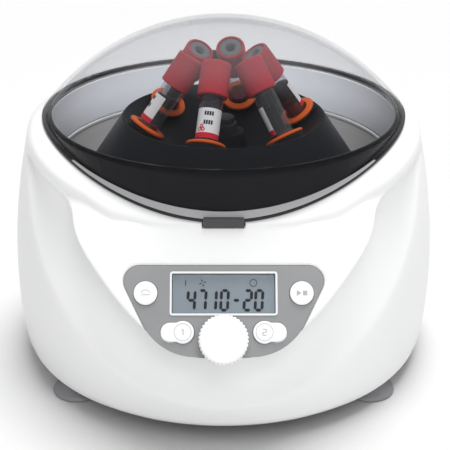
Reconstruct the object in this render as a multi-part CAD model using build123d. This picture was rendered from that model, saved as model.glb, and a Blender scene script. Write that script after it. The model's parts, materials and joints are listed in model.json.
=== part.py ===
from build123d import *
import os
from math import cos, exp, radians, sin, sqrt, tan

os.makedirs("parts", exist_ok=True)

# Driving dimensions in millimetres. Everything is laid out about the rotor axis with the floor at
# Z = 0 and the control panel towards -Y. AXIS_Y then moves the machine so that its footprint is
# centred on the origin.
AXIS_Y = 19.6
WALL = 3.0  # horizontal thickness of the moulded housing
RUNNING_GAP = 0.05  # radial clearance of a shaft in its bore
MOVING_GAP = 0.3  # clearance round buttons and sliding pieces

# Housing: a barrel whose centre drifts forward towards its foot.
WAIST_RADIUS, WAIST_Z = 126.5, 50.0
SHOULDER_DROP, FOOT_DROP = 12.5, 3.5  # how much narrower the shoulder and the foot are
FRONT_SHIFT = 12.5  # how far forward the foot's centre stands
HOUSING_BOTTOM = 8.0
HEEL = 4.5  # rounding of the bottom edge
SEAM_RADIUS, SEAM_Z, SEAM_DIP, SEAM_POWER = 107.0, 140.6, 25.6, 2.6
SHOULDER_ROUND = 7.0

# Front face: a flatter slope that stands proud of the barrel above a concave scoop.
FACE_LEAN = 35.0  # degrees back from vertical
FACE_TOP_Z = SEAM_Z - SEAM_DIP
FACE_EDGE_Z, FACE_EDGE_RISE, FACE_EDGE_SPREAD, FACE_EDGE_POWER = 57.0, 86.0, 37.5, 2.2
RIDGE_Z, RIDGE_RATE, RIDGE_POWER = 22.3, 0.0325, 1.9
SCOOP_DEPTH, SCOOP_END = 8.6, 75.0  # depth under the barrel, and the angle where it fades out

# Control panel, laid out on the sloping face: x across, s down the slope from the seam.
PANEL_TOP, PANEL_BOTTOM = 21.4, 67.9
PANEL_TOP_HALF, PANEL_BOTTOM_HALF = 56.0, 33.0
PANEL_THICK, PANEL_INSET = 1.5, 0.4
BOARD_FRONT = -8.4  # height of the control board's front over the face
WINDOW_HALF, WINDOW_TOP, WINDOW_BOTTOM = 27.2, 24.7, 46.7
KEY_RADIUS, KEY_X, KEY_S, KEY_TRAVEL = 6.1, 39.8, 35.6, 0.8
PROGRAM_RADIUS, PROGRAM_X, PROGRAM_S, PROGRAM_END, PROGRAM_HALF = 5.8, 20.7, 55.5, 32.0, 4.9
KNOB_RADIUS, KNOB_HEIGHT, KNOB_S, KNOB_FLUTES = 12.6, 12.5, 59.9, 38

# Chamber, lid and hinge.
BOWL_RADIUS, BOWL_FLOOR, BOWL_LIP = 101.0, 63.0, 112.0
LID_TOP_Z, LID_CORNER_Z, LID_CORNER_ROUND, LID_THICK = 195.0, 143.0, 5.0, 2.4
SEAL_HEIGHT = 1.9
LID_GAP = 0.4
HINGE_Y, HINGE_Z, HINGE_RADIUS, HINGE_PIN = 112.5, 137.5, 4.5, 2.0
TONGUE_HALF, TONGUE_LOW, TONGUE_HIGH = 10.7, 113.8, 119.2

# Rotor for six tubes.
TUBE_COUNT, TUBE_LEAN, RING_RADIUS, RING_Z, ROTOR_TURN = 6, 36.0, 47.0, 135.0, -12.3
ROTOR_RADIUS, ROTOR_BOTTOM, ROTOR_RIM_RADIUS, ROTOR_RIM_Z = 97.0, 72.0, 60.0, 136.5
TUBE_RADIUS, TUBE_BORE, TUBE_TOP, TUBE_END = 6.5, 5.5, 42.5, 32.5
CAP_RADIUS, CAP_TOP, CAP_LENGTH = 8.7, 48.5, 20.0
HOLDER_BORE, HOLDER_DEPTH, SEAT_RADIUS = 8.5, 64.0, 11.0
SHAFT_RADIUS = 4.0

# Base, motor and feet.
FOOT_X, FOOT_SPREAD_Y, FOOT_RADIUS, FOOT_DISC = 83.5, 72.1, 15.2, 3.8
BASE_THICK = 2.5
BASE_TOP = HOUSING_BOTTOM + BASE_THICK
MOTOR_RADIUS, MOTOR_BOTTOM, MOTOR_TOP = 42.0, 19.0, 55.0
BOSS_X, BOSS_Y = 45.0, 97.0  # from the foot's centre


def cylinder(radius, low, high, x=0.0, y=0.0):
    """Upright cylinder between two heights."""
    return Pos(x, y, (low + high) / 2) * Cylinder(radius, high - low)


def ring(outer, inner, low, high, x=0.0, y=0.0):
    return cylinder(outer, low, high, x, y) - cylinder(inner, low - 1, high + 1, x, y)


def block(x0, x1, y0, y1, z0, z1):
    centre = ((x0 + x1) / 2, (y0 + y1) / 2, (z0 + z1) / 2)
    return Pos(*centre) * Box(x1 - x0, y1 - y0, z1 - z0)


def turned(points):
    """Solid of revolution about the rotor axis from (radius, z) points."""
    outline = Polyline(*[(r, 0, z) for r, z in points], close=True)
    return revolve(make_face(outline), Axis.Z, 360)


def save(name, shape):
    export_step(Pos(0, AXIS_Y, 0) * shape, f"parts/{name}.step")


# ---------------------------------------------------------------- housing surface

def seam_height(y):
    """The lid seam is level behind the rotor axis and dips towards the front."""
    return SEAM_Z - SEAM_DIP * max(0.0, -y / SEAM_RADIUS) ** SEAM_POWER


def barrel_radius(angle, z):
    """Distance from the rotor axis to the barrel, at an angle in degrees from the front."""
    if z > WAIST_Z:
        radius = WAIST_RADIUS - SHOULDER_DROP * ((z - WAIST_Z) / (SEAM_Z - WAIST_Z)) ** 2
    else:
        radius = WAIST_RADIUS - FOOT_DROP * ((WAIST_Z - z) / (WAIST_Z - BASE_TOP)) ** 2
    shift = FRONT_SHIFT * (SEAM_Z - z) / (SEAM_Z - BASE_TOP)
    side = shift * sin(radians(angle))
    return shift * cos(radians(angle)) + sqrt(radius**2 - side**2)


def smooth_step(t):
    t = min(1.0, max(0.0, t))
    return t * t * (3 - 2 * t)


def face_radius(angle, z):
    """Distance from the rotor axis to the upper shell: a rounded square at the control panel that
    turns into the barrel at the sides."""
    if angle >= 90:
        return barrel_radius(angle, z)
    half_width = barrel_radius(90, z)
    depth = SEAM_RADIUS + tan(radians(FACE_LEAN)) * (FACE_TOP_Z - z)
    if z > FACE_TOP_Z:
        depth += 0.98 * (z - FACE_TOP_Z)
    power = 2.2 + 2.8 * smooth_step((122 - z) / 24)
    across = (sin(radians(angle)) / half_width) ** power
    along = (cos(radians(angle)) / depth) ** power
    return (across + along) ** (-1 / power)


def face_edge_height(angle):
    return FACE_EDGE_Z + FACE_EDGE_RISE * (1 - exp(-((angle / FACE_EDGE_SPREAD) ** FACE_EDGE_POWER)))


def soft_min(a, b, blend):
    """The smaller of two values, rounded off where they cross."""
    share = max(0.0, 1 - abs(a - b) / blend)
    return min(a, b) - blend * share**2 / 4


def shell_outline(angle, inset):
    """One side of the shell's radial section at an angle, as lists of (radius, z) points for the
    heel, barrel, scoop, face and shoulder. The inner side also sits higher under the face's edge."""
    seam = seam_height(-cos(radians(angle)) * SEAM_RADIUS)
    edge = soft_min(face_edge_height(angle), seam - SHOULDER_ROUND - 3.5, 12)
    ridge = soft_min(RIDGE_Z + RIDGE_RATE * angle**RIDGE_POWER, edge - 6, 10)
    edge += 0.8 * inset
    depth = SCOOP_DEPTH * max(0.0, 1 - (angle / SCOOP_END) ** 2)
    fade = smooth_step((100 - angle) / 30)

    def lower(z):
        return barrel_radius(angle, z)

    def upper(z):
        return fade * face_radius(angle, z) + (1 - fade) * barrel_radius(angle, z)

    heel_top = HOUSING_BOTTOM + HEEL
    heel_radius = lower(heel_top)
    heel = [(heel_radius - HEEL, HOUSING_BOTTOM), (heel_radius - 0.3 * HEEL, HOUSING_BOTTOM + 0.3 * HEEL),
            (heel_radius, heel_top)]
    rise = ridge - heel_top
    barrel = [(lower(heel_top + t * rise), heel_top + t * rise) for t in (0, 0.35, 0.7, 1)]
    low_z, high_z = ridge + 0.45 * (edge - ridge), ridge + 0.93 * (edge - ridge)
    scoop = [barrel[-1], (lower(low_z) - 1.75 * depth, low_z), (lower(high_z) - 1.75 * depth, high_z),
             (upper(edge), edge)]
    rounding = max(0.8, min(SHOULDER_ROUND, upper(seam) - SEAM_RADIUS))
    top_z = seam - rounding
    face = [(upper(edge + t * (top_z - edge)), edge + t * (top_z - edge)) for t in (0, 0.3, 0.6, 0.85, 1)]
    shoulder = [face[-1], (face[-1][0], seam), (SEAM_RADIUS, seam)]
    lists = [heel, barrel, scoop, face, shoulder]
    return [[(r - inset, z) for r, z in points] for points in lists]


def shell_section(angle):
    """Closed radial section of the shell wall."""
    x_out, y_out = sin(radians(angle)), -cos(radians(angle))

    def place(point):
        return (point[0] * x_out, point[0] * y_out, point[1])

    outer = shell_outline(angle, 0)
    heel, barrel, scoop, face, shoulder = ([place(p) for p in points] for points in outer)
    edges = [ThreePointArc(*heel), Spline(*barrel), Bezier(*scoop), Spline(*face), Bezier(*shoulder)]
    rim_radius = SEAM_RADIUS - WALL
    rim_z = seam_height(place((rim_radius, 0))[1])
    inner = shell_outline(angle, WALL)
    heel, barrel, scoop, face, shoulder = ([place(p) for p in points[::-1]] for points in inner)
    rim_top, rim_foot = place((rim_radius, rim_z)), place((rim_radius, rim_z - 2.4))
    edges += [Line(edges[-1] @ 1, rim_top), Line(rim_top, rim_foot), Line(rim_foot, face[0]), Spline(*face),
              Bezier(*scoop), Spline(*barrel), ThreePointArc(*heel), Line(heel[-1], edges[0] @ 0)]
    return Wire(edges)


def shell():
    angles = [0, 6, 12, 18, 24, 30, 36, 43, 50, 58, 66, 74, 82, 90, 100, 115, 130, 150, 165, 180]
    half = Solid.make_loft([shell_section(a) for a in angles], False)
    return Part() + half + mirror(half, Plane.YZ)


def seam_cutter(lift, low=0.0, high=260.0):
    """Everything below the seam surface raised by lift."""
    reach = 140
    steps = [-reach + 5 * i for i in range(2 * reach // 5 + 1)]
    curve = Spline(*[(0, y, seam_height(y) + lift) for y in steps if y <= 0])
    edges = [curve, Line((0, 0, SEAM_Z + lift), (0, reach, SEAM_Z + lift)),
             Line((0, reach, SEAM_Z + lift), (0, reach, low)), Line((0, reach, low), (0, -reach, low)),
             Line((0, -reach, low), (0, -reach, seam_height(-reach) + lift))]
    outline = make_face(edges)
    return extrude(outline, amount=reach, dir=(1, 0, 0), both=True)


# ---------------------------------------------------------------- control panel layout

LEAN = radians(FACE_LEAN)
PANEL = Plane(origin=(0, -SEAM_RADIUS, FACE_TOP_Z), x_dir=(1, 0, 0), z_dir=(0, -cos(LEAN), sin(LEAN)))


def on_panel(x, s, height=0.0):
    """Location on the sloping face; its Z is the outward normal."""
    return PANEL.location * Pos(x, -s, height)


def panel_prism(sketch, low, high):
    """A panel sketch, drawn in x and -s, as a solid between two heights over the face."""
    return PANEL.location * Pos(0, 0, low) * extrude(sketch, high - low)


def panel_outline(margin=0.0):
    top, bottom = -PANEL_TOP + margin, -PANEL_BOTTOM - margin
    a, b = PANEL_TOP_HALF + 1.2 * margin, PANEL_BOTTOM_HALF + 0.9 * margin
    shape = make_face(Polyline((-a, top), (a, top), (b, bottom), (-b, bottom), close=True))
    upper = shape.vertices().sort_by(Axis.Y)[-2:]
    shape = fillet(upper, 8)
    lower = shape.vertices().sort_by(Axis.Y)[:2]
    return fillet(lower, 30)


def program_outline(side, margin=0.0):
    """A round key with a pill that reaches outwards."""
    disc = Pos(side * PROGRAM_X, -PROGRAM_S) * Circle(PROGRAM_RADIUS + margin)
    half = PROGRAM_HALF + margin
    length = PROGRAM_END + margin - PROGRAM_X
    pill = Pos(side * (PROGRAM_X + length / 2), -PROGRAM_S) * Rectangle(length, 2 * half)
    end = pill.vertices().sort_by(Axis.X)[-2:] if side > 0 else pill.vertices().sort_by(Axis.X)[:2]
    return disc + fillet(end, half - 0.2)


def key_outline(side, margin=0.0):
    return Pos(side * KEY_X, -KEY_S) * Circle(KEY_RADIUS + margin)


def window_outline(margin=0.0):
    height = WINDOW_BOTTOM - WINDOW_TOP
    middle = (WINDOW_BOTTOM + WINDOW_TOP) / 2
    return Pos(0, -middle) * RectangleRounded(2 * (WINDOW_HALF + margin), height + 2 * margin, 1.2 + margin)


def key_holes(margin):
    shape = window_outline(margin)
    for side in (-1, 1):
        shape += key_outline(side, margin) + program_outline(side, margin)
    return shape + Pos(0, -KNOB_S) * Circle(3.5 + margin)


# ---------------------------------------------------------------- housing parts

def rear_tray():
    """Outline of the recessed socket panel at the back, as a solid to cut and to intersect."""
    return block(-42, 42, 104.5, 125, 20, 74)


def barrel_solid(margin):
    """The lower barrel as a plain solid, larger than the housing by a margin."""
    circles = []
    for z in (15, 35, 55, 78):
        back, front = barrel_radius(180, z), barrel_radius(0, z)
        plane = Plane(origin=(0, (back - front) / 2, z))
        circles.append(Wire([Edge.make_circle((back + front) / 2 + margin, plane)]))
    return Part() + Solid.make_loft(circles, False)


def boss_places():
    return [(x, y - FRONT_SHIFT) for x in (-BOSS_X, BOSS_X) for y in (-BOSS_Y, BOSS_Y)]


def upper_housing():
    body = shell()
    for x, y in boss_places():
        body += cylinder(5, BASE_TOP, 28, x, y)
        outward = 1 if y > 0 else -1
        edge = outward * sqrt((WAIST_RADIUS - FOOT_DROP - 1.5) ** 2 - x**2) - FRONT_SHIFT
        body += block(x - 2, x + 2, min(y, edge), max(y, edge), BASE_TOP, 26)
    for x, y in boss_places():
        body -= cylinder(1.6, BASE_TOP - 1, 24, x, y)
    body -= panel_prism(panel_outline(0.15), -PANEL_INSET - PANEL_THICK, 12)
    body -= panel_prism(key_holes(0.5), -9, 5)
    body -= rear_tray()
    body -= block(-20.4, 20.4, 104.6, 125, 123.6, 150)
    body -= block(-TONGUE_HALF - 0.6, TONGUE_HALF + 0.6, -115, -102, TONGUE_LOW - 0.6, 125)
    body -= block(-5.6, 5.6, -107, -101, 95, 120)
    return body


def base_pan():
    pan = cylinder(115.0, HOUSING_BOTTOM, BASE_TOP, 0, -FRONT_SHIFT)
    for x, y in foot_places():
        pan -= cylinder(2.1, 0, 20, x, y)
    for x, y in boss_places():
        pan -= cylinder(1.9, 0, 20, x, y)
    for i in range(-4, 5):
        pan -= block(10 * i - 1.6, 10 * i + 1.6, 48, 72, 0, 20)
    return pan


def foot_places():
    return [(x, y - FRONT_SHIFT) for x in (-FOOT_X, FOOT_X) for y in (-FOOT_SPREAD_Y, FOOT_SPREAD_Y)]


def foot():
    profile = [(0, 0), (FOOT_RADIUS - 0.6, 0), (FOOT_RADIUS, 0.8), (FOOT_RADIUS - 1.2, 2.4), (10, FOOT_DISC),
               (7.5, 5.2), (7.5, HOUSING_BOTTOM), (0, HOUSING_BOTTOM)]
    return turned(profile) - cylinder(1.7, 3.2, 9)


def feet():
    return Compound([Pos(x, y, 0) * foot() for x, y in foot_places()])


def screw(x, y, low, seat, shank, head):
    """Pan-head screw that points down from its seat."""
    body = cylinder(shank, low, seat, x, y) + cylinder(head, seat, seat + 1.9, x, y)
    return body - Pos(x, y, seat + 1.9) * Box(0.8, 4.0, 1.6)


def foot_screws():
    return [screw(x, y, 3.6, BASE_TOP, 1.6, 3.4) for x, y in foot_places()]


def housing_screws():
    """Driven from below into the four housing bosses."""
    screws = []
    for x, y in boss_places():
        body = cylinder(1.5, 6.4, 22, x, y) + cylinder(3.2, 6.2, HOUSING_BOTTOM, x, y)
        screws.append(body - Pos(x, y, 6.2) * Box(4.0, 0.8, 1.6))
    return screws


def rear_panel():
    """Recessed tray with openings for the mains inlet and the switch."""
    inner = block(-39.6, 39.6, 107, 126, 22.4, 71.6)
    panel = block(-41.8, 41.8, 104.7, 125, 20.2, 73.8) - inner
    panel &= barrel_solid(-0.4)
    panel -= block(-34.1, -5.9, 100, 112, 36.8, 57.2)
    panel -= block(13.4, 26.6, 100, 112, 37.4, 56.6)
    return panel


PIN_PLACES = [(-27, 45), (-13, 45), (-20, 50)]


def mains_inlet():
    body = block(-34, -6, 88, 107, 36.9, 57.1) + block(-36, -4, 107, 109, 35, 59)
    body -= block(-32.2, -7.8, 92, 110, 38.6, 55.4)
    for x, z in PIN_PLACES:
        body -= block(x - 1, x + 1, 89.5, 93, z - 2, z + 2)
    return body


def inlet_pins():
    return Compound([block(x - 1, x + 1, 89.5, 103.4, z - 2, z + 2) for x, z in PIN_PLACES])


def switch_frame():
    frame = block(13.5, 26.5, 92, 107, 37.5, 56.5) + block(11.8, 28.2, 107, 108.6, 35.8, 58.2)
    frame -= block(14.6, 25.4, 94, 112, 38.6, 55.4)
    return frame - Pos(*SWITCH_PIVOT) * Rot(0, 90, 0) * Cylinder(1.5 + RUNNING_GAP, 12.2)


SWITCH_PIVOT = (20.0, 104.5, 47.0)
SWITCH_THROW = 12.0


def power_rocker():
    """Two-facet rocker on moulded trunnions, resting with one half pressed in."""
    x, y, z = SWITCH_PIVOT
    half = 7.6
    points = [(-5.0, 2.4), (-2.0, half), (5.4, half), (4.0, 0), (5.4, -half), (-2.0, -half), (-5.0, -2.4)]
    outline = make_face(Polyline(*[(0, y + a, z + b) for a, b in points], close=True))
    rocker = Pos(x, 0, 0) * extrude(outline, amount=5.1, dir=(1, 0, 0), both=True)
    rocker += Pos(x, y, z) * Rot(0, 90, 0) * Cylinder(1.5, 12.0)
    return rocker.rotate(Axis((x, y, z), (1, 0, 0)), SWITCH_THROW / 2)


def control_panel():
    plate = panel_prism(panel_outline(), -PANEL_INSET - PANEL_THICK, -PANEL_INSET)
    return plate - panel_prism(key_holes(MOVING_GAP), -9, 5)


def display_frame():
    low, high = -PANEL_INSET - PANEL_THICK, 0.1
    return panel_prism(window_outline(0.25) - window_outline(-0.75), low, high)


def display_window():
    return panel_prism(window_outline(-0.8), -1.6, -0.6)


def lcd_module():
    height = WINDOW_BOTTOM - WINDOW_TOP
    middle = (WINDOW_BOTTOM + WINDOW_TOP) / 2
    return on_panel(0, middle, -4.6) * Box(2 * WINDOW_HALF - 2, height - 2, 4.0)


def control_board():
    outline = Polyline((-42, -28), (42, -28), (21, -51), (9, -51), (9, -59), (-9, -59), (-9, -51), (-21, -51),
                       close=True)
    return panel_prism(make_face(outline), -9.9, BOARD_FRONT)


def key_switches():
    """Tactile switches under the four keys."""
    places = [(-KEY_X, KEY_S), (KEY_X, KEY_S), (-PROGRAM_X, PROGRAM_S), (PROGRAM_X, PROGRAM_S)]
    bodies = []
    for x, s in places:
        bodies.append(on_panel(x, s, -7.6) * Box(5, 5, 1.6) + on_panel(x, s, -6.4) * Cylinder(1.7, 0.9))
    return Compound(bodies)


def encoder_body():
    body = on_panel(0, KNOB_S - 0.6, -5) * Box(11, 8.2, 3.6)
    body += on_panel(0, KNOB_S - 3, -7.6) * Box(11, 3.4, 1.6)
    return body - on_panel(0, KNOB_S, -5) * Cylinder(3 + RUNNING_GAP, 8.8)


def encoder_shaft():
    return on_panel(0, KNOB_S, 1) * Cylinder(3, 15.6)


def control_knob():
    """Fluted knob, pressed on the encoder's shaft."""
    base, top = 0.7, KNOB_HEIGHT + 0.2
    knob = on_panel(0, KNOB_S, (base + top) / 2) * Cylinder(KNOB_RADIUS, top - base)
    edge = knob.edges().filter_by(GeomType.CIRCLE).sort_by(lambda e: e.center().Z)[-1]
    knob = fillet(edge, 1.2)
    for i in range(KNOB_FLUTES):
        turn = radians(360 / KNOB_FLUTES * i)
        x, s = (KNOB_RADIUS + 0.25) * sin(turn), KNOB_S + (KNOB_RADIUS + 0.25) * cos(turn)
        knob -= on_panel(x, s, 7) * Cylinder(0.75, 16)
    return knob - on_panel(0, KNOB_S, 4) * Cylinder(3, 9.6)


def key(sketch):
    """A key cap that stands proud of the panel, with a stem towards its switch."""
    return panel_prism(sketch, -2.6, 0.9)


def round_key(side):
    return key(key_outline(side)) + on_panel(side * KEY_X, KEY_S, -3.7) * Cylinder(2.4, 2.4)


def program_key(side):
    return key(program_outline(side)) + on_panel(side * PROGRAM_X, PROGRAM_S, -3.7) * Cylinder(2.4, 2.4)


# ---------------------------------------------------------------- chamber and drive

def steel_bowl():
    r, t = BOWL_RADIUS, 1.0
    round_out = [(r + t - 12 + 12 * sin(radians(a)), BOWL_FLOOR + 12 - 12 * cos(radians(a)))
                 for a in (0, 22.5, 45, 67.5, 90)]
    round_in = [(r - 11 + 11 * sin(radians(a)), BOWL_FLOOR + t + 11 - 11 * cos(radians(a)))
                for a in (90, 67.5, 45, 22.5, 0)]
    profile = [(16, BOWL_FLOOR), *round_out, (r + t, BOWL_LIP - 1), (r + 1.8, BOWL_LIP - 1),
               (r + 1.8, BOWL_LIP), (r, BOWL_LIP), *round_in, (16, BOWL_FLOOR + t)]
    return turned(profile)


def shaft_grommet():
    """Rubber sleeve between the motor's nose and the bowl's floor."""
    return turned([(9, MOTOR_TOP), (14, MOTOR_TOP), (17, BOWL_FLOOR), (9, BOWL_FLOOR)])


def bowl_gasket():
    return turned([(100.2, BOWL_LIP), (103.0, BOWL_LIP), (103.0, BOWL_LIP + 1.6), (101.0, BOWL_LIP + 2.2),
                   (100.2, BOWL_LIP + 1.4)])


def chamber_collar():
    """Sloping wall between the bowl and the lid seam, tallest at the back."""
    low, high = BOWL_LIP + 2.4, 150
    wall = turned([(100.6, low), (103.8, low), (103.8, high), (102.0, high), (101.8, SEAM_Z - 6)])
    wall = wall & seam_cutter(-0.3)
    return wall - block(-5.6, 5.6, -110, -98, 95, 125)


def motor_housing():
    body = cylinder(MOTOR_RADIUS, MOTOR_BOTTOM, MOTOR_TOP)
    body = fillet(body.edges().filter_by(GeomType.CIRCLE).sort_by(Axis.Z)[-1], 4)
    body -= cylinder(9, MOTOR_BOTTOM + 5, MOTOR_TOP + 1)
    for i in range(4):
        turn = radians(45 + 90 * i)
        body -= cylinder(1.8, MOTOR_BOTTOM - 1, MOTOR_BOTTOM + 8, 30 * cos(turn), 30 * sin(turn))
    return body


def shaft_bearings():
    lower, upper = MOTOR_BOTTOM + 5, MOTOR_TOP - 7
    return Compound([ring(9, SHAFT_RADIUS + RUNNING_GAP, z, z + 7) for z in (lower, upper)])


def motor_plate():
    plate = cylinder(58, 16, MOTOR_BOTTOM)
    for i in range(4):
        turn = radians(45 + 90 * i)
        plate -= cylinder(2.0, 10, 25, 30 * cos(turn), 30 * sin(turn))
    return plate


def motor_dampers():
    """Rubber blocks that carry the motor plate on the base."""
    turns = [radians(90 * i) for i in range(4)]
    return Compound([cylinder(7, BASE_TOP, 16, 50 * cos(a), 50 * sin(a)) for a in turns])


def motor_screws():
    screws = []
    for i in range(4):
        turn = radians(45 + 90 * i)
        x, y = 30 * cos(turn), 30 * sin(turn)
        screws.append(cylinder(1.7, 16, MOTOR_BOTTOM + 7, x, y) + cylinder(3.3, 13.6, 16, x, y))
    return screws


def power_board():
    board = block(-36, 36, 64, 86, 14, 15.6)
    board += block(-34, -16, 66, 84, 15.6, 32) + block(20, 34, 67, 83, 15.6, 26)
    for x in (-8, 3, 14):
        board += cylinder(4.5, 15.6, 30, x, 75)
    for x in (-34, 34):
        for y in (66, 84):
            board += cylinder(1.6, BASE_TOP, 14, x, y)
    return board


def latch_housing():
    body = block(-9, 9, -111.4, -107, 96, 103.8)
    return body - block(-2.7, 2.7, -112, -105, 99.9, 103.1)


def latch_bolt():
    return block(-2.6, 2.6, -111.2, -106.7, 100, 103)


# ---------------------------------------------------------------- lid

def dome_solid(inset):
    """Solid under the lid's skin, inset by the skin's thickness."""
    radius, top = SEAM_RADIUS - inset, LID_TOP_Z - inset
    height = LID_TOP_Z - LID_CORNER_Z
    ball = (SEAM_RADIUS**2 + height**2) / (2 * height) - inset
    centre_z = top - ball
    corner_z = centre_z + sqrt(ball**2 - radius**2)
    middle = radians(45 * 0.55)
    arc = ThreePointArc((radius, 0, corner_z), (ball * sin(middle), 0, centre_z + ball * cos(middle)), (0, 0, top))
    edges = [Line((0, 0, 90), (radius, 0, 90)), Line((radius, 0, 90), (radius, 0, corner_z)), arc,
             Line((0, 0, top), (0, 0, 90))]
    outline = make_face(edges)
    corner = outline.vertices().sort_by(lambda v: abs(v.X - radius) + abs(v.Z - corner_z))[0]
    outline = fillet(corner, LID_CORNER_ROUND - inset)
    return revolve(outline, Axis.Z, 360)


def lid_dome():
    skin = dome_solid(0) - dome_solid(LID_THICK)
    return skin - seam_cutter(LID_GAP + SEAL_HEIGHT)


def lid_rim():
    """Black hoop bonded inside the dome's skirt."""
    hoop = turned([(101.4, 95), (SEAM_RADIUS - LID_THICK, 95), (SEAM_RADIUS - LID_THICK, LID_CORNER_Z + 1.2),
                   (101.4, LID_CORNER_Z + 1.2)])
    hoop &= dome_solid(LID_THICK + 0.02)
    return hoop - seam_cutter(LID_GAP + SEAL_HEIGHT)


def lid_seal():
    hoop = ring(SEAM_RADIUS, 102.4, 95, 200)
    hoop -= seam_cutter(LID_GAP)
    return hoop & seam_cutter(LID_GAP + SEAL_HEIGHT)


def lid_tongue():
    """Smoky tab that laps over the front of the seam and carries the striker."""
    y_front = -SEAM_RADIUS - 2.4
    plate = block(-TONGUE_HALF, TONGUE_HALF, y_front, -SEAM_RADIUS - 0.05, TONGUE_LOW, TONGUE_HIGH)
    foot_plate = block(-TONGUE_HALF, TONGUE_HALF, y_front, -104.7, TONGUE_LOW, TONGUE_LOW + 1.4)
    return plate + foot_plate


def lid_striker():
    blade = block(-4.6, 4.6, -106.2, -104.8, 97.6, TONGUE_LOW)
    return blade - block(-3.2, 3.2, -108, -102, 99.4, 103.6)


def hinge_arm():
    """Arm from the back of the lid to the hinge pin."""
    half = 12.0
    points = [(104, 142.6), (104, 147.4), (108, 147.4), (HINGE_Y + HINGE_RADIUS, 139.5),
              (HINGE_Y + HINGE_RADIUS, HINGE_Z), (HINGE_Y, HINGE_Z), (HINGE_Y - HINGE_RADIUS + 0.4, HINGE_Z + 2),
              (HINGE_Y - HINGE_RADIUS, 142.6)]
    outline = make_face(Polyline(*[(0, y, z) for y, z in points], close=True))
    arm = extrude(outline, amount=half, dir=(1, 0, 0), both=True)
    arm += Pos(0, HINGE_Y, HINGE_Z) * Rot(0, 90, 0) * Cylinder(HINGE_RADIUS, 2 * half)
    arm -= cylinder(SEAM_RADIUS + 0.02, 90, LID_CORNER_Z + 0.5) + dome_solid(-0.02)
    return arm - Pos(0, HINGE_Y, HINGE_Z) * Rot(0, 90, 0) * Cylinder(HINGE_PIN + RUNNING_GAP, 60)


def hinge_bracket():
    """Forked block in the back of the housing that holds the hinge pin."""
    body = block(-20, 20, 105.0, 117, 124, HINGE_Z)
    body += Pos(0, HINGE_Y, HINGE_Z) * Rot(0, 90, 0) * Cylinder(HINGE_RADIUS, 40)
    body -= block(-12.4, 12.4, 104, 118, HINGE_Z - HINGE_RADIUS - 0.5, 150)
    return body - Pos(0, HINGE_Y, HINGE_Z) * Rot(0, 90, 0) * Cylinder(HINGE_PIN, 60)


def hinge_pin():
    return Pos(0, HINGE_Y, HINGE_Z) * Rot(0, 90, 0) * Cylinder(HINGE_PIN, 39.6)


# ---------------------------------------------------------------- rotor

def tube_frame(index):
    """Location on a tube's axis at the adapter flange; its Z points up out of the rotor."""
    azimuth = ROTOR_TURN + 360 / TUBE_COUNT * index - 90
    return Rot(0, 0, azimuth) * Pos(RING_RADIUS, 0, RING_Z) * Rot(0, -TUBE_LEAN, 0)


def rotor_body():
    slope = tan(radians(TUBE_LEAN))
    dish_low = ROTOR_RIM_Z - (ROTOR_RIM_RADIUS - 26) * slope
    profile = [(SHAFT_RADIUS, ROTOR_BOTTOM + 2), (18, ROTOR_BOTTOM + 2), (18, 92), (60, 92),
               (60, ROTOR_BOTTOM), (94, ROTOR_BOTTOM), (ROTOR_RADIUS, ROTOR_BOTTOM + 4), (ROTOR_RADIUS, 84.6),
               (ROTOR_RIM_RADIUS + 1.0, ROTOR_RIM_Z - 0.6), (ROTOR_RIM_RADIUS, ROTOR_RIM_Z), (26, dish_low),
               (15, dish_low), (12, 128), (SHAFT_RADIUS, 128)]
    body = turned(profile)
    for i in range(TUBE_COUNT):
        body += tube_frame(i) * cylinder(SEAT_RADIUS, -12, -1.1)
    for i in range(TUBE_COUNT):
        body -= tube_frame(i) * cylinder(HOLDER_BORE, -HOLDER_DEPTH, 20)
    return body


def motor_shaft():
    return cylinder(SHAFT_RADIUS, MOTOR_BOTTOM + 5.5, 134)


def rotor_nut():
    nut = cylinder(8, 128, 133) + cylinder(6.4, 133, 137)
    for i in range(24):
        turn = radians(15 * i)
        nut -= cylinder(0.5, 127, 133, 8.2 * cos(turn), 8.2 * sin(turn))
    return nut - cylinder(SHAFT_RADIUS, 120, 134)


def tube_adapter(index):
    """Flanged sleeve that centres a narrow tube in the rotor's wide hole."""
    profile = [(0, -HOLDER_DEPTH + 2), (6, -HOLDER_DEPTH + 2), (8.3, -HOLDER_DEPTH + 6), (8.3, -0.9),
               (11.4, -0.9), (11.4, 0.9), (7.3, 1.3), (6.9, -1.5), (6.9, -TUBE_END - 0.2),
               (0, -TUBE_END - 0.2)]
    return tube_frame(index) * turned(profile)


def tube_adapters():
    return Compound([tube_adapter(i) for i in range(TUBE_COUNT)])


def rounded_rod(radius, low, high):
    """Rod with a hemispherical lower end."""
    return cylinder(radius, low + radius, high) + Pos(0, 0, low + radius) * Sphere(radius)


def sample_tube(index):
    wall = rounded_rod(TUBE_RADIUS, -TUBE_END, TUBE_TOP)
    bore = rounded_rod(TUBE_BORE, -TUBE_END + 1, TUBE_TOP + 1)
    return tube_frame(index) * (wall - bore)


def sample(index):
    level = 8 if index % 2 == 0 else 3
    return tube_frame(index) * rounded_rod(TUBE_BORE - 0.04, -TUBE_END + 1.04, level)


def tube_cap(index):
    low, high = CAP_TOP - CAP_LENGTH, CAP_TOP
    profile = [(TUBE_RADIUS + 0.05, low), (CAP_RADIUS, low), (CAP_RADIUS, high - 1.2), (CAP_RADIUS - 1, high),
               (5.3, high), (5.3, TUBE_TOP), (TUBE_RADIUS + 0.05, TUBE_TOP)]
    return tube_frame(index) * turned(profile)


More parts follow.
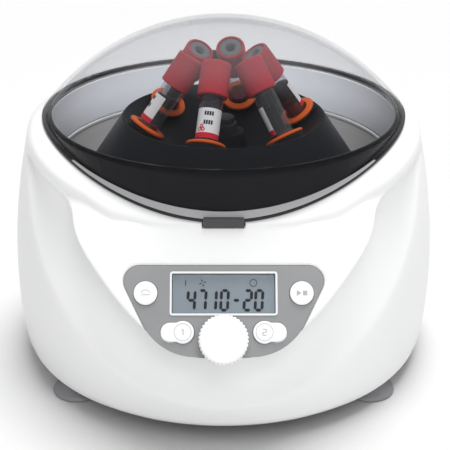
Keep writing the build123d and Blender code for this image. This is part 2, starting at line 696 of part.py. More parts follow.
def tube_stopper(index):
    profile = [(0, TUBE_TOP - 6), (5.2, TUBE_TOP - 6), (5.4, TUBE_TOP - 0.05), (5.25, TUBE_TOP + 0.05), (5.25, CAP_TOP - 1.4),
               (2.6, CAP_TOP - 1.4), (1.8, CAP_TOP - 3.4), (0, CAP_TOP - 3.4)]
    return tube_frame(index) * turned(profile)


def tube_label(index):
    return tube_frame(index) * ring(TUBE_RADIUS + 0.22, TUBE_RADIUS + 0.02, 4, 27)


# ---------------------------------------------------------------- build

save("upper_housing", upper_housing())
save("base_pan", base_pan())
save("rear_panel", rear_panel())
save("control_panel", control_panel())
save("display_frame", display_frame())
save("display_window", display_window())
save("lcd_module", lcd_module())
save("control_board", control_board())
save("key_switches", key_switches())
save("encoder_body", encoder_body())
save("power_board", power_board())
save("steel_bowl", steel_bowl())
save("bowl_gasket", bowl_gasket())
save("chamber_collar", chamber_collar())
save("shaft_grommet", shaft_grommet())
save("motor_housing", motor_housing())
save("shaft_bearings", shaft_bearings())
save("motor_plate", motor_plate())
save("motor_dampers", motor_dampers())
save("suction_feet", feet())
save("chassis_screws", Compound(foot_screws() + housing_screws() + motor_screws()))
save("hinge_bracket", hinge_bracket())
save("hinge_pin", hinge_pin())
save("latch_housing", latch_housing())
save("mains_inlet", mains_inlet())
save("inlet_pins", inlet_pins())
save("switch_frame", switch_frame())

save("lid_dome", lid_dome())
save("lid_rim", lid_rim())
save("lid_seal", lid_seal())
save("lid_tongue", lid_tongue())
save("lid_striker", lid_striker())
save("hinge_arm", hinge_arm())

save("motor_shaft", motor_shaft())
save("rotor_body", rotor_body())
save("rotor_nut", rotor_nut())
save("tube_adapters", tube_adapters())
for number in range(TUBE_COUNT):
    save(f"sample_tube_{number + 1}", sample_tube(number))
    save(f"tube_cap_{number + 1}", tube_cap(number))
save("tube_stoppers", Compound([tube_stopper(i) for i in range(TUBE_COUNT)]))
save("tube_labels", Compound([tube_label(i) for i in range(TUBE_COUNT)]))
save("blood_samples", Compound([sample(i) for i in range(TUBE_COUNT)]))

save("control_knob", control_knob())
save("encoder_shaft", encoder_shaft())
save("door_key", round_key(-1))
save("start_key", round_key(1))
save("program_key_1", program_key(-1))
save("program_key_2", program_key(1))
save("power_rocker", power_rocker())
save("latch_bolt", latch_bolt())
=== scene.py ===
import json
from math import asin, atan2, cos, degrees, exp, pi, radians, sin, sqrt, tan

import bpy
import bmesh
from mathutils import Matrix, Vector


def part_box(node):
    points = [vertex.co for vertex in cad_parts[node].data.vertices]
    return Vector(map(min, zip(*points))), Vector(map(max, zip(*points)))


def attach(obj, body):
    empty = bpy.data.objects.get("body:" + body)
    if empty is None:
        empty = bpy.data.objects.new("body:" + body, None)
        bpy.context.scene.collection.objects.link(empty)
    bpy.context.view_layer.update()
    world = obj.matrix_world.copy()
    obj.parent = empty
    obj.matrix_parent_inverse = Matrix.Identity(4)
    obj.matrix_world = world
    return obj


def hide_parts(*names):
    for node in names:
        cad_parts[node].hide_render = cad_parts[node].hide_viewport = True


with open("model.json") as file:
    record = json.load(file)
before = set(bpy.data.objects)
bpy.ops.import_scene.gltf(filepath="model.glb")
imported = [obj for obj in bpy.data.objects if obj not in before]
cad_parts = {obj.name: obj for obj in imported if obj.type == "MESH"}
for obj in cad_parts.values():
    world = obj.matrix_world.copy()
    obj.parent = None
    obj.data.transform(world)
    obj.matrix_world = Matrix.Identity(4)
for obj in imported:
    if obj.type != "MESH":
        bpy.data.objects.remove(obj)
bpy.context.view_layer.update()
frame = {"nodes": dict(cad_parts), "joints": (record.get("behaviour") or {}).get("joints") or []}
joints = {joint["name"]: joint for joint in frame["joints"]}

# Shapes are built in millimetres about the rotor axis, floor at Z = 0, panel towards -Y, and then
# moved into the row frame by place_rows().
MM = 0.001
AXIS_Y = joints["rotor_spin"]["pos_m"][1] / MM

# Housing: a barrel whose centre drifts forward towards its foot.
WALL = 3.0
WAIST_RADIUS, WAIST_Z = 126.5, 50.0
SHOULDER_DROP, FOOT_DROP, FRONT_SHIFT = 12.5, 3.5, 12.5
HOUSING_BOTTOM, BASE_TOP, HEEL = 8.0, 10.5, 4.5
SEAM_RADIUS, SEAM_Z, SEAM_DIP, SEAM_POWER = 107.0, 140.6, 25.6, 2.6
SHOULDER_ROUND = 7.0
FACE_LEAN = radians(35.0)
FACE_TOP_Z = SEAM_Z - SEAM_DIP
FACE_EDGE_Z, FACE_EDGE_RISE, FACE_EDGE_SPREAD, FACE_EDGE_POWER = 57.0, 86.0, 37.5, 2.2
RIDGE_Z, RIDGE_RATE, RIDGE_POWER = 22.3, 0.0325, 1.9
SCOOP_DEPTH, SCOOP_END = 8.6, 75.0
EDGE_SOFT, RIDGE_SOFT = 3.4, 2.2  # how far the bib's edge and the ridge are rounded each way

# What is cut from the housing for the hinge arm (y0, y1, z0, z1) and for the rear panel (x0 to z1).
HINGE_NOTCH, REAR_OPENING = (104.6, 125, 123.6, 150), (-42, 42, 104.5, 125, 20, 74)

# Control panel: x across, s down the slope from the seam.
PANEL_TOP, PANEL_BOTTOM, PANEL_TOP_HALF, PANEL_BOTTOM_HALF = 21.4, 67.9, 56.0, 33.0
PANEL_THICK, PANEL_INSET = 1.5, 0.4
WINDOW_HALF, WINDOW_TOP, WINDOW_BOTTOM = 27.2, 24.7, 46.7
KEY_RADIUS, KEY_X, KEY_S = 6.1, 39.8, 35.6
PROGRAM_RADIUS, PROGRAM_X, PROGRAM_S, PROGRAM_END, PROGRAM_HALF = 5.8, 20.7, 55.5, 32.0, 4.9
KNOB_RADIUS, KNOB_HEIGHT, KNOB_S, KNOB_FLUTES, KNOB_FLUTE_DEPTH = 12.6, 12.5, 59.9, 38, 0.6

# Chamber and lid.
BOWL_RADIUS, BOWL_FLOOR, BOWL_LIP, BOWL_SHEET = 101.0, 63.0, 112.0, 1.0
COLLAR_OUTER, COLLAR_LOW = 103.8, BOWL_LIP + 2.4
RIM_INNER, SEAL_INNER = 101.4, 104.3  # inner radii of the lid's black rim and of its seal
CATCH_SLOT = (-5.6, 5.6)  # where the striker passes through the housing and the collar
LID_TOP_Z, LID_CORNER_Z, LID_CORNER_ROUND, LID_THICK = 195.0, 143.0, 5.0, 2.4
LID_GAP, SEAL_HEIGHT = 0.4, 1.9
TONGUE_HALF, TONGUE_LOW, TONGUE_HIGH = 10.7, 113.8, 119.2

# Rotor.
TUBE_COUNT, TUBE_LEAN, RING_RADIUS, RING_Z, ROTOR_TURN = 6, radians(36.0), 47.0, 135.0, -12.3
ROTOR_RADIUS, ROTOR_BOTTOM, ROTOR_RIM_RADIUS, ROTOR_RIM_Z = 97.0, 72.0, 59.5, 138.8
TUBE_RADIUS, TUBE_BORE, TUBE_TOP, TUBE_END = 6.5, 5.5, 42.5, 32.5
CAP_RADIUS, CAP_TOP, CAP_LENGTH, CAP_RIBS, STOPPER_HEAD = 8.7, 48.5, 20.0, 48, 6.9
SEAT_RADIUS, SEAT_TOP, SEAT_FOOT = 11.0, -1.1, -12.0  # rotor boss under each adapter flange
HOLDER_BORE, HOLDER_DEPTH, SHAFT_RADIUS = 8.5, 64.0, 4.0

# Feet.
FOOT_X, FOOT_SPREAD_Y, FOOT_RADIUS, FOOT_DISC = 83.5, 72.1, 15.2, 3.8


# ---------------------------------------------------------------- materials

def shader_nodes(name):
    """A new material with its node tree and its Principled node."""
    material = bpy.data.materials.new(name)
    material.use_nodes = True
    tree = material.node_tree
    shader = tree.nodes["Principled BSDF"]
    return material, tree, shader


def add_node(tree, kind, **values):
    node = tree.nodes.new(kind)
    for key, value in values.items():
        if key in node.inputs:
            node.inputs[key].default_value = value
        else:
            setattr(node, key, value)
    return node


def set_inputs(node, values):
    for socket, value in values.items():
        node.inputs[socket].default_value = value


def object_noise(tree, scale, detail=3.0, stretch=(1, 1, 1)):
    """Noise in object space; a larger stretch squeezes the grain along that axis."""
    coordinates = add_node(tree, "ShaderNodeTexCoord")
    mapping = add_node(tree, "ShaderNodeMapping", Scale=stretch)
    grain = add_node(tree, "ShaderNodeTexNoise", Scale=scale, Detail=detail)
    tree.links.new(coordinates.outputs["Object"], mapping.inputs["Vector"])
    tree.links.new(mapping.outputs["Vector"], grain.inputs["Vector"])
    return grain


def split_place(tree):
    """The object's coordinates as X, Y and Z outputs."""
    coordinates = add_node(tree, "ShaderNodeTexCoord")
    split = add_node(tree, "ShaderNodeSeparateXYZ")
    tree.links.new(coordinates.outputs["Object"], split.inputs["Vector"])
    return split


def ranged(tree, source, from_low, from_high, low, high, kind="LINEAR"):
    """Maps a value from one range to another."""
    node = add_node(tree, "ShaderNodeMapRange", interpolation_type=kind)
    set_inputs(node, {"From Min": from_low, "From Max": from_high, "To Min": low, "To Max": high})
    tree.links.new(source, node.inputs["Value"])
    return node.outputs["Result"]


def spread(tree, source, low, high):
    """Maps a 0.3 to 0.7 noise value to a range."""
    return ranged(tree, source, 0.3, 0.7, low, high)


def vary(tree, shader, noise, colour, shade, roughness):
    """Colour between a shade of itself and full, and gloss over a range, both by a noise."""
    mix = add_node(tree, "ShaderNodeMix", data_type="RGBA")
    set_inputs(mix, {6: (*(shade * c for c in colour), 1), 7: (*colour, 1)})
    tree.links.new(spread(tree, noise.outputs["Fac"], 0, 1), mix.inputs[0])
    tree.links.new(mix.outputs[2], shader.inputs["Base Color"])
    tree.links.new(spread(tree, noise.outputs["Fac"], *roughness), shader.inputs["Roughness"])


def add_bump(tree, shader, height, distance):
    bump = add_node(tree, "ShaderNodeBump", Strength=1.0, Distance=distance)
    tree.links.new(height, bump.inputs["Height"])
    tree.links.new(bump.outputs["Normal"], shader.inputs["Normal"])


def moulded(name, colour, roughness=(0.3, 0.4), grain=900, depth=0.00004, shade=0.96, coat=0.0, metal=0.0,
            shine=0.5):
    """Moulded plastic or rubber: faint cloudiness in colour and gloss, and a fine surface grain."""
    material, tree, shader = shader_nodes(name)
    cloud = object_noise(tree, 22, 2)
    vary(tree, shader, cloud, colour, shade, roughness)
    fine = object_noise(tree, grain, 2)
    add_bump(tree, shader, fine.outputs["Fac"], depth)
    set_inputs(shader, {"Metallic": metal, "Specular IOR Level": shine, "Coat Weight": coat,
                        "Coat Roughness": 0.08})
    return material


def turned_metal(name, colour, roughness=(0.22, 0.4), rings=260, depth=0.00003, metal=1.0):
    """Metal with fine spun rings about the vertical axis."""
    material, tree, shader = shader_nodes(name)
    shader.inputs["Metallic"].default_value = metal
    split = split_place(tree)
    shift = add_node(tree, "ShaderNodeMath", operation="SUBTRACT")
    shift.inputs[1].default_value = AXIS_Y * MM
    tree.links.new(split.outputs["Y"], shift.inputs[0])
    flat = add_node(tree, "ShaderNodeCombineXYZ")
    tree.links.new(split.outputs["X"], flat.inputs["X"])
    tree.links.new(shift.outputs["Value"], flat.inputs["Y"])
    length = add_node(tree, "ShaderNodeVectorMath", operation="LENGTH")
    tree.links.new(flat.outputs["Vector"], length.inputs[0])
    ring_point = add_node(tree, "ShaderNodeCombineXYZ")
    tree.links.new(length.outputs["Value"], ring_point.inputs["X"])
    tree.links.new(split.outputs["Z"], ring_point.inputs["Z"])
    grain = add_node(tree, "ShaderNodeTexNoise", Scale=rings * 10, Detail=4.0)
    tree.links.new(ring_point.outputs["Vector"], grain.inputs["Vector"])
    vary(tree, shader, grain, colour, 0.82, roughness)
    add_bump(tree, shader, grain.outputs["Fac"], depth)
    return material


def clear_plastic(name, tint, haze=0.0, haze_colour=(0.5, 0.5, 0.52), gloss=0.04, mirror=1.0, glint=0.03,
                  top_haze=None):
    """Thin clear wall: what is behind it shows tinted, with a mirror-like skin and a little haze.
    With top_haze = (haze, low, high) the haze grows to another value between two heights."""
    material, tree, shader = shader_nodes(name)
    tree.nodes.remove(shader)
    output = tree.nodes["Material Output"]
    through = add_node(tree, "ShaderNodeBsdfTransparent", Color=(*tint, 1))
    skin = add_node(tree, "ShaderNodeBsdfPrincipled", Metallic=1.0)
    skin.inputs["Base Color"].default_value = (1, 1, 1, 1)
    wear = object_noise(tree, 60, 4)
    tree.links.new(spread(tree, wear.outputs["Fac"], gloss * 0.7, gloss * 1.6), skin.inputs["Roughness"])
    cloudy = add_node(tree, "ShaderNodeBsdfDiffuse", Color=(*haze_colour, 1))
    soft = add_node(tree, "ShaderNodeMixShader")
    soft.inputs["Fac"].default_value = haze
    if top_haze:
        most, low, high = top_haze
        amount = ranged(tree, split_place(tree).outputs["Z"], low * MM, high * MM, haze, most, "SMOOTHSTEP")
        tree.links.new(amount, soft.inputs["Fac"])
    tree.links.new(through.outputs[0], soft.inputs[1])
    tree.links.new(cloudy.outputs[0], soft.inputs[2])
    facing = add_node(tree, "ShaderNodeLayerWeight", Blend=0.5)
    falloff = add_node(tree, "ShaderNodeMath", operation="POWER")
    falloff.inputs[1].default_value = 5.0
    share = add_node(tree, "ShaderNodeMath", operation="MULTIPLY_ADD")
    set_inputs(share, {1: 0.9 * mirror, 2: glint * mirror})
    tree.links.new(facing.outputs["Facing"], falloff.inputs[0])
    tree.links.new(falloff.outputs[0], share.inputs[0])
    mix = add_node(tree, "ShaderNodeMixShader")
    tree.links.new(share.outputs[0], mix.inputs["Fac"])
    tree.links.new(soft.outputs[0], mix.inputs[1])
    tree.links.new(skin.outputs[0], mix.inputs[2])
    tree.links.new(mix.outputs[0], output.inputs["Surface"])
    return material


WHITE = moulded("white_abs", (0.875, 0.878, 0.88), (0.28, 0.36), grain=1400, depth=0.00002, shade=0.985)
KEY_WHITE = moulded("key_white", (0.88, 0.88, 0.885), (0.32, 0.42), grain=2200, depth=0.00002, shade=0.985)
PANEL_GREY = moulded("panel_grey", (0.3, 0.305, 0.31), (0.36, 0.46), grain=2600, depth=0.00003, shade=0.94)
BEZEL = moulded("bezel_white", (0.85, 0.85, 0.86), (0.3, 0.36))
BASE_GREY = moulded("base_grey", (0.2, 0.2, 0.21), (0.45, 0.6), depth=0.0001)
DARK = moulded("dark_plastic", (0.03, 0.03, 0.033), (0.3, 0.45))
GLOSS_BLACK = moulded("gloss_black", (0.006, 0.006, 0.007), (0.1, 0.16), grain=500, depth=0.000006,
                      shine=0.12)
ROTOR_BLACK = moulded("rotor_black", (0.011, 0.012, 0.015), (0.34, 0.46), grain=1200, depth=0.00006,
                      shade=0.8, shine=0.2)
RUBBER = moulded("seal_rubber", (0.015, 0.015, 0.015), (0.45, 0.6), grain=700, depth=0.0001)
FOOT_RUBBER = moulded("foot_rubber", (0.24, 0.24, 0.25), (0.4, 0.55), grain=700, depth=0.0001)
COLLAR_GREY = moulded("collar_grey", (0.78, 0.8, 0.84), (0.35, 0.45))
ORANGE = moulded("adapter_orange", (0.75, 0.13, 0.02), (0.3, 0.42), shade=0.9)
CAP_RED = moulded("cap_red", (0.5, 0.018, 0.035), (0.28, 0.4), shade=0.85)
STOPPER = moulded("stopper_grey", (0.16, 0.165, 0.175), (0.5, 0.65), shade=0.85)
PAPER = moulded("label_paper", (0.86, 0.86, 0.86), (0.55, 0.65), grain=1600, depth=0.00003)
LABEL_RED = moulded("label_red", (0.65, 0.02, 0.05), (0.5, 0.6))
INK = moulded("print_ink", (0.02, 0.02, 0.025), (0.5, 0.6))
INK_GREY = moulded("print_grey", (0.45, 0.45, 0.46), (0.5, 0.6))
BLOOD = moulded("blood", (0.16, 0.008, 0.008), (0.08, 0.12), coat=0.5, shade=0.8)
LCD_BACK = moulded("lcd_back", (0.33, 0.37, 0.4), (0.25, 0.32), shade=0.93)
LCD_INK = moulded("lcd_ink", (0.01, 0.012, 0.02), (0.4, 0.5))
BOARD = moulded("circuit_board", (0.02, 0.12, 0.05), (0.3, 0.4))
STEEL = turned_metal("turned_steel", (0.62, 0.62, 0.63))
BOWL_STEEL = turned_metal("bowl_steel", (0.78, 0.775, 0.76), (0.35, 0.5), rings=180, depth=0.00006, metal=0.4)
ZINC = moulded("zinc_plate", (0.6, 0.6, 0.61), (0.3, 0.45), metal=1.0)
CHROME = moulded("plated", (0.8, 0.8, 0.81), (0.08, 0.16), metal=1.0)
SMOKE = clear_plastic("smoke_clear", (0.92, 0.922, 0.93), haze=0.004, mirror=0.3, glint=0.01,
                      top_haze=(0.07, 170, 184))
# Pale frosted finish for the lid's front bead: a painted highlight in place of the light that the bead
# reflects.
SMOKE_PAINTED_HIGHLIGHT = clear_plastic("painted_highlight_smoke", (0.8, 0.8, 0.81), haze=0.5, haze_colour=(0.75, 0.75, 0.77),
                           mirror=0.4)
TONGUE_SMOKE = clear_plastic("tongue_smoke", (0.45, 0.45, 0.46), haze=0.25, haze_colour=(0.2, 0.2, 0.21))
TUBE_CLEAR = clear_plastic("tube_clear", (0.9, 0.91, 0.93), haze=0.02, haze_colour=(0.8, 0.8, 0.82))
WINDOW = clear_plastic("window_clear", (0.95, 0.96, 0.97), haze=0.0, gloss=0.08)


# ---------------------------------------------------------------- mesh helpers

def place_rows(points):
    """Millimetres about the rotor axis to metres in the row frame."""
    return [(x * MM, (y + AXIS_Y) * MM, z * MM) for x, y, z in points]


def sharpen(mesh, angle):
    """Smooth shading with sharp edges where faces meet at more than an angle in degrees."""
    work = bmesh.new()
    work.from_mesh(mesh)
    bmesh.ops.recalc_face_normals(work, faces=work.faces)
    for face in work.faces:
        face.smooth = True
    for edge in work.edges:
        if len(edge.link_faces) == 2:
            edge.smooth = edge.calc_face_angle(0) < radians(angle)
    work.to_mesh(mesh)
    work.free()


def raw_piece(name, shapes, materials):
    """One object from (points, faces) or (points, faces, material index or list of them) shapes."""
    points, faces, indices = [], [], []
    for shape in shapes:
        base = len(points)
        points += place_rows(shape[0])
        faces += [tuple(base + i for i in face) for face in shape[1]]
        index = shape[2] if len(shape) > 2 else 0
        indices += index if isinstance(index, list) else [index] * len(shape[1])
    mesh = bpy.data.meshes.new(name)
    mesh.from_pydata(points, [], faces)
    for material in materials:
        mesh.materials.append(material)
    mesh.polygons.foreach_set("material_index", indices)
    mesh.update()
    piece = bpy.data.objects.new(name, mesh)
    bpy.context.scene.collection.objects.link(piece)
    return piece


def add_piece(name, shapes, materials, body, nodes=(), angle=35, cuts=()):
    """A finished piece: cut, shaded, riding on its body and standing for its CAD nodes."""
    materials = materials if isinstance(materials, (list, tuple)) else [materials]
    piece = raw_piece(name, shapes, materials)
    sharpen(piece.data, angle)
    for number, cutter_shapes in enumerate(cuts):
        cut_away(piece, raw_piece(f"{name}_cutter_{number}", cutter_shapes, materials[:1]))
    if cuts:
        sharpen(piece.data, angle)
    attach(piece, body)
    if nodes:
        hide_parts(*nodes)
    return piece


def cut_away(piece, cutter, operation="DIFFERENCE"):
    """Takes the cutter out of a piece, or adds it, and removes the cutter."""
    sharpen(cutter.data, 30)
    modifier = piece.modifiers.new("cut", "BOOLEAN")
    modifier.operation = operation
    modifier.solver = "EXACT"
    modifier.object = cutter
    bpy.context.view_layer.update()
    evaluated = piece.evaluated_get(bpy.context.evaluated_depsgraph_get())
    cut_mesh = bpy.data.meshes.new_from_object(evaluated)
    piece.modifiers.clear()
    piece.data = cut_mesh
    bpy.data.objects.remove(cutter)


def joined(base, extras):
    """The outer surface of several overlapping solids, as one shape."""
    piece = raw_piece("joined_base", [base], [ROTOR_BLACK])
    sharpen(piece.data, 30)
    for extra in extras:
        cut_away(piece, raw_piece("joined_extra", [extra], [ROTOR_BLACK]), "UNION")
    points = [(v.co.x / MM, v.co.y / MM - AXIS_Y, v.co.z / MM) for v in piece.data.vertices]
    faces = [tuple(p.vertices) for p in piece.data.polygons]
    bpy.data.objects.remove(piece)
    return points, faces


def rounded(points, radii, steps=5):
    """A closed outline with its corners rounded to arcs."""
    outline = []
    count = len(points)
    for i, point in enumerate(points):
        radius = radii[i] if isinstance(radii, (list, tuple)) else radii
        corner, before, after = Vector(point), Vector(points[i - 1]), Vector(points[(i + 1) % count])
        back, ahead = before - corner, after - corner
        half = back.angle(ahead) / 2
        if radius <= 0 or half > pi / 2 - 0.02:
            outline.append(tuple(corner))
            continue
        reach = min(radius / tan(half), 0.48 * back.length, 0.48 * ahead.length)
        true_radius = reach * tan(half)
        centre = corner + (back.normalized() + ahead.normalized()).normalized() * true_radius / sin(half)
        start = corner + back.normalized() * reach - centre
        end = corner + ahead.normalized() * reach - centre
        first = atan2(start.y, start.x)
        turn = (atan2(end.y, end.x) - first + pi) % (2 * pi) - pi
        for step in range(steps + 1):
            angle = first + turn * step / steps
            outline.append((centre.x + true_radius * cos(angle), centre.y + true_radius * sin(angle)))
    return outline


def grown(outline, margin):
    """An outline moved outwards by a margin."""
    area = sum(a[0] * b[1] - b[0] * a[1] for a, b in zip(outline, outline[1:] + outline[:1]))
    side = 1 if area > 0 else -1
    result = []
    for i, point in enumerate(outline):
        before, after = Vector(outline[i - 1]), Vector(outline[(i + 1) % len(outline)])
        along = (after - before).normalized()
        result.append((point[0] + side * along.y * margin, point[1] - side * along.x * margin))
    return result


def lathe(profile, steps=96, place=None, start=0.0, sweep=2 * pi):
    """A closed (radius, height) profile turned about Z, then placed."""
    points, faces = [], []
    full = sweep > 2 * pi - 1e-6
    columns = steps if full else steps + 1
    rows = []
    for radius, height in profile:
        if radius < 1e-6:
            rows.append([len(points)] * columns)
            points.append((0, 0, height))
            continue
        rows.append(list(range(len(points), len(points) + columns)))
        for i in range(columns):
            angle = start + sweep * i / steps
            points.append((radius * cos(angle), radius * sin(angle), height))
    for i, row in enumerate(rows):
        following = rows[(i + 1) % len(rows)]
        for j in range(steps):
            k = (j + 1) % columns
            face = []
            for index in (row[j], row[k], following[k], following[j]):
                if index not in face:
                    face.append(index)
            if len(face) > 2:
                faces.append(tuple(face))
    if not full:
        faces.append(tuple(row[0] for row in rows))
        faces.append(tuple(row[-1] for row in reversed(rows)))
    return placed(points, place), faces


def ring_faces(rings, size, closed=False):
    """Quads between rings of points that follow each other, and from the last to the first if closed."""
    faces = []
    for ring in range(rings if closed else rings - 1):
        base, following = ring * size, (ring + 1) % rings * size
        for i in range(size):
            j = (i + 1) % size
            faces.append((base + i, base + j, following + j, following + i))
    return faces


def placed(points, place):
    return [tuple(place @ Vector(p)) for p in points] if place else points


def prism(outline, low, high, place=None, bevel=0.0):
    """An outline raised between two heights, with its upper edge rounded."""
    levels = [(low, 0.0)]
    if bevel:
        for step in range(4):
            angle = pi / 2 * step / 3
            levels.append((high - bevel + bevel * sin(angle), -bevel * (1 - cos(angle))))
    else:
        levels.append((high, 0.0))
    return stacked(outline, levels, place)


def stacked(outline, levels, place=None):
    """A solid through copies of an outline, one for each (height, margin)."""
    points = []
    count = len(outline)
    for height, margin in levels:
        points += [(x, y, height) for x, y in (grown(outline, margin) if margin else outline)]
    faces = ring_faces(len(levels), count)
    faces.append(tuple(reversed(range(count))))
    faces.append(tuple(range((len(levels) - 1) * count, len(levels) * count)))
    return placed(points, place), faces


def tube_ring(outer, inner, low, high, place=None):
    """A flat-topped frame between two outlines with the same number of points."""
    corners = ((outer, low), (outer, high), (inner, high), (inner, low))
    points = [(x, y, z) for outline, z in corners for x, y in outline]
    return placed(points, place), ring_faces(4, len(outer), True)


def hoop(section_at, columns=180, start=0.0):
    """A closed band whose (radius, height) section changes with the turn, in radians from +X."""
    points = []
    for column in range(columns):
        turn = start + 2 * pi * column / columns
        points += [(r * cos(turn), r * sin(turn), z) for r, z in section_at(turn)]
    return points, ring_faces(columns, len(points) // columns, True)


def box(x0, x1, y0, y1, z0, z1):
    points = [(x, y, z) for z in (z0, z1) for x, y in ((x0, y0), (x1, y0), (x1, y1), (x0, y1))]
    faces = [(3, 2, 1, 0), (4, 5, 6, 7), (0, 1, 5, 4), (1, 2, 6, 5), (2, 3, 7, 6), (3, 0, 4, 7)]
    return points, faces


def circle(x, y, radius, steps=48):
    turns = [2 * pi * i / steps for i in range(steps)]
    return [(x + radius * cos(turn), y + radius * sin(turn)) for turn in turns]


# ---------------------------------------------------------------- housing

def seam_height(y):
    return SEAM_Z - SEAM_DIP * max(0.0, -y / SEAM_RADIUS) ** SEAM_POWER


def smooth_step(t):
    t = min(1.0, max(0.0, t))
    return t * t * (3 - 2 * t)


def soft_min(a, b, blend):
    """The smaller of two values, with a smooth change-over."""
    share = max(0.0, 1 - abs(a - b) / blend)
    return min(a, b) - blend * share**2 / 4


def barrel_radius(angle, z):
    """Distance from the rotor axis to the barrel, at an angle in degrees from the front."""
    if z > WAIST_Z:
        radius = WAIST_RADIUS - SHOULDER_DROP * ((z - WAIST_Z) / (SEAM_Z - WAIST_Z)) ** 2
    else:
        radius = WAIST_RADIUS - FOOT_DROP * ((WAIST_Z - z) / (WAIST_Z - BASE_TOP)) ** 2
    shift = FRONT_SHIFT * (SEAM_Z - z) / (SEAM_Z - BASE_TOP)
    side = shift * sin(radians(angle))
    return shift * cos(radians(angle)) + sqrt(radius**2 - side**2)


def face_radius(angle, z):
    """The upper shell: a rounded square at the control panel that turns into the barrel."""
    if angle >= 90:
        return barrel_radius(angle, z)
    half_width = barrel_radius(90, z)
    depth = SEAM_RADIUS + tan(FACE_LEAN) * (FACE_TOP_Z - z)
    if z > FACE_TOP_Z:
        depth += 0.98 * (z - FACE_TOP_Z)
    power = 2.2 + 2.8 * smooth_step((122 - z) / 24)
    across = (sin(radians(angle)) / half_width) ** power
    along = (cos(radians(angle)) / depth) ** power
    return (across + along) ** (-1 / power)


def face_edge_height(angle):
    return FACE_EDGE_Z + FACE_EDGE_RISE * (1 - exp(-((angle / FACE_EDGE_SPREAD) ** FACE_EDGE_POWER)))


def bezier(points, steps):
    """Points along a quadratic or cubic Bezier."""
    result = []
    for step in range(steps + 1):
        level = [Vector(p) for p in points]
        t = step / steps
        while len(level) > 1:
            level = [a.lerp(b, t) for a, b in zip(level, level[1:])]
        result.append(level[0])
    return result


def softened(before, after, reach, steps=6):
    """Two curves that meet at a corner, joined with the corner rounded over a reach each way."""
    def trimmed(curve):
        kept = list(curve)
        left = reach
        while len(kept) > 2 and (kept[-1] - kept[-2]).length < left:
            left -= (kept[-1] - kept[-2]).length
            kept.pop()
        step = kept[-2] - kept[-1]
        kept[-1] = kept[-1] + step * min(0.9, left / max(step.length, 1e-6))
        return kept

    head, tail = trimmed(before), trimmed(after[::-1])[::-1]
    bend = bezier([head[-1], before[-1], tail[0]], steps)
    return head, bend[1:-1], tail


def resampled(curve, count):
    """The same curve with evenly spaced points."""
    lengths = [0.0]
    for a, b in zip(curve, curve[1:]):
        lengths.append(lengths[-1] + (b - a).length)
    result, at = [], 0
    for i in range(count):
        target = lengths[-1] * i / (count - 1)
        while at < len(curve) - 2 and lengths[at + 1] < target:
            at += 1
        span = max(lengths[at + 1] - lengths[at], 1e-9)
        result.append(curve[at].lerp(curve[at + 1], (target - lengths[at]) / span))
    return result


def shell_section(angle, inset, counts):
    """One side of the shell at an angle from the front, from its foot to its seam."""
    seam = seam_height(-cos(radians(angle)) * SEAM_RADIUS)
    edge = soft_min(face_edge_height(angle), seam - SHOULDER_ROUND - 3.5, 12)
    ridge = soft_min(RIDGE_Z + RIDGE_RATE * angle**RIDGE_POWER, edge - 6, 10)
    edge += 0.8 * inset
    depth = SCOOP_DEPTH * max(0.0, 1 - (angle / SCOOP_END) ** 2)
    fade = smooth_step((100 - angle) / 30)

    def lower(z):
        return barrel_radius(angle, z)

    def upper(z):
        return fade * face_radius(angle, z) + (1 - fade) * barrel_radius(angle, z)

    heel_top = HOUSING_BOTTOM + HEEL
    foot = lower(heel_top)
    heel = bezier([(foot - HEEL, HOUSING_BOTTOM), (foot, HOUSING_BOTTOM), (foot, heel_top)], 6)
    heights = [heel_top + t * (ridge - heel_top) / 10 for t in range(11)]
    barrel = [Vector((lower(z), z)) for z in heights]
    low_z, high_z = ridge + 0.45 * (edge - ridge), ridge + 0.93 * (edge - ridge)
    scoop = bezier([barrel[-1], (lower(low_z) - 1.75 * depth, low_z), (lower(high_z) - 1.75 * depth, high_z),
                    (upper(edge), edge)], 24)
    rounding = max(0.8, min(SHOULDER_ROUND, upper(seam) - SEAM_RADIUS))
    top_z = seam - rounding
    heights = [edge + t * (top_z - edge) / 16 for t in range(17)]
    face = [Vector((upper(z), z)) for z in heights]
    shoulder = bezier([face[-1], (face[-1].x, seam), (SEAM_RADIUS, seam)], 8)
    barrel, ridge_bend, scoop = softened(heel[:-1] + barrel, scoop, RIDGE_SOFT)
    scoop, edge_bend, face = softened(scoop, face, EDGE_SOFT)
    curve = (resampled(barrel + ridge_bend[:3], counts[0]) + resampled(ridge_bend[2:] + scoop, counts[1])[1:]
             + edge_bend + resampled(face, counts[2]) + shoulder[1:])
    return [(point.x - inset, point.y) for point in curve]


def housing_shell():
    """The whole moulded wall, outside and inside, as radial sections that start at the front."""
    front = -pi / 2

    def section(turn):
        from_front = degrees(turn - front)
        angle = min(from_front, 360 - from_front)
        rim = SEAM_RADIUS - WALL
        seam = seam_height(-cos(radians(angle)) * rim)
        outside = shell_section(angle, 0, (14, 26, 22))
        inside = shell_section(angle, WALL, (8, 12, 12))
        return outside + [(rim, seam), (rim, seam - 2.4)] + inside[-9::-1]

    return hoop(section, 240, front)


PANEL = (Matrix.Translation((0, -SEAM_RADIUS, FACE_TOP_Z))
         @ Matrix(((1, 0, 0, 0), (0, sin(FACE_LEAN), -cos(FACE_LEAN), 0),
                   (0, cos(FACE_LEAN), sin(FACE_LEAN), 0), (0, 0, 0, 1))))


def panel_outline(margin=0.0):
    a, b = PANEL_TOP_HALF, PANEL_BOTTOM_HALF
    corners = [(-a, -PANEL_TOP), (a, -PANEL_TOP), (b, -PANEL_BOTTOM), (-b, -PANEL_BOTTOM)]
    outline = rounded(corners, [8, 8, 30, 30], 16)
    return grown(outline, margin) if margin else outline


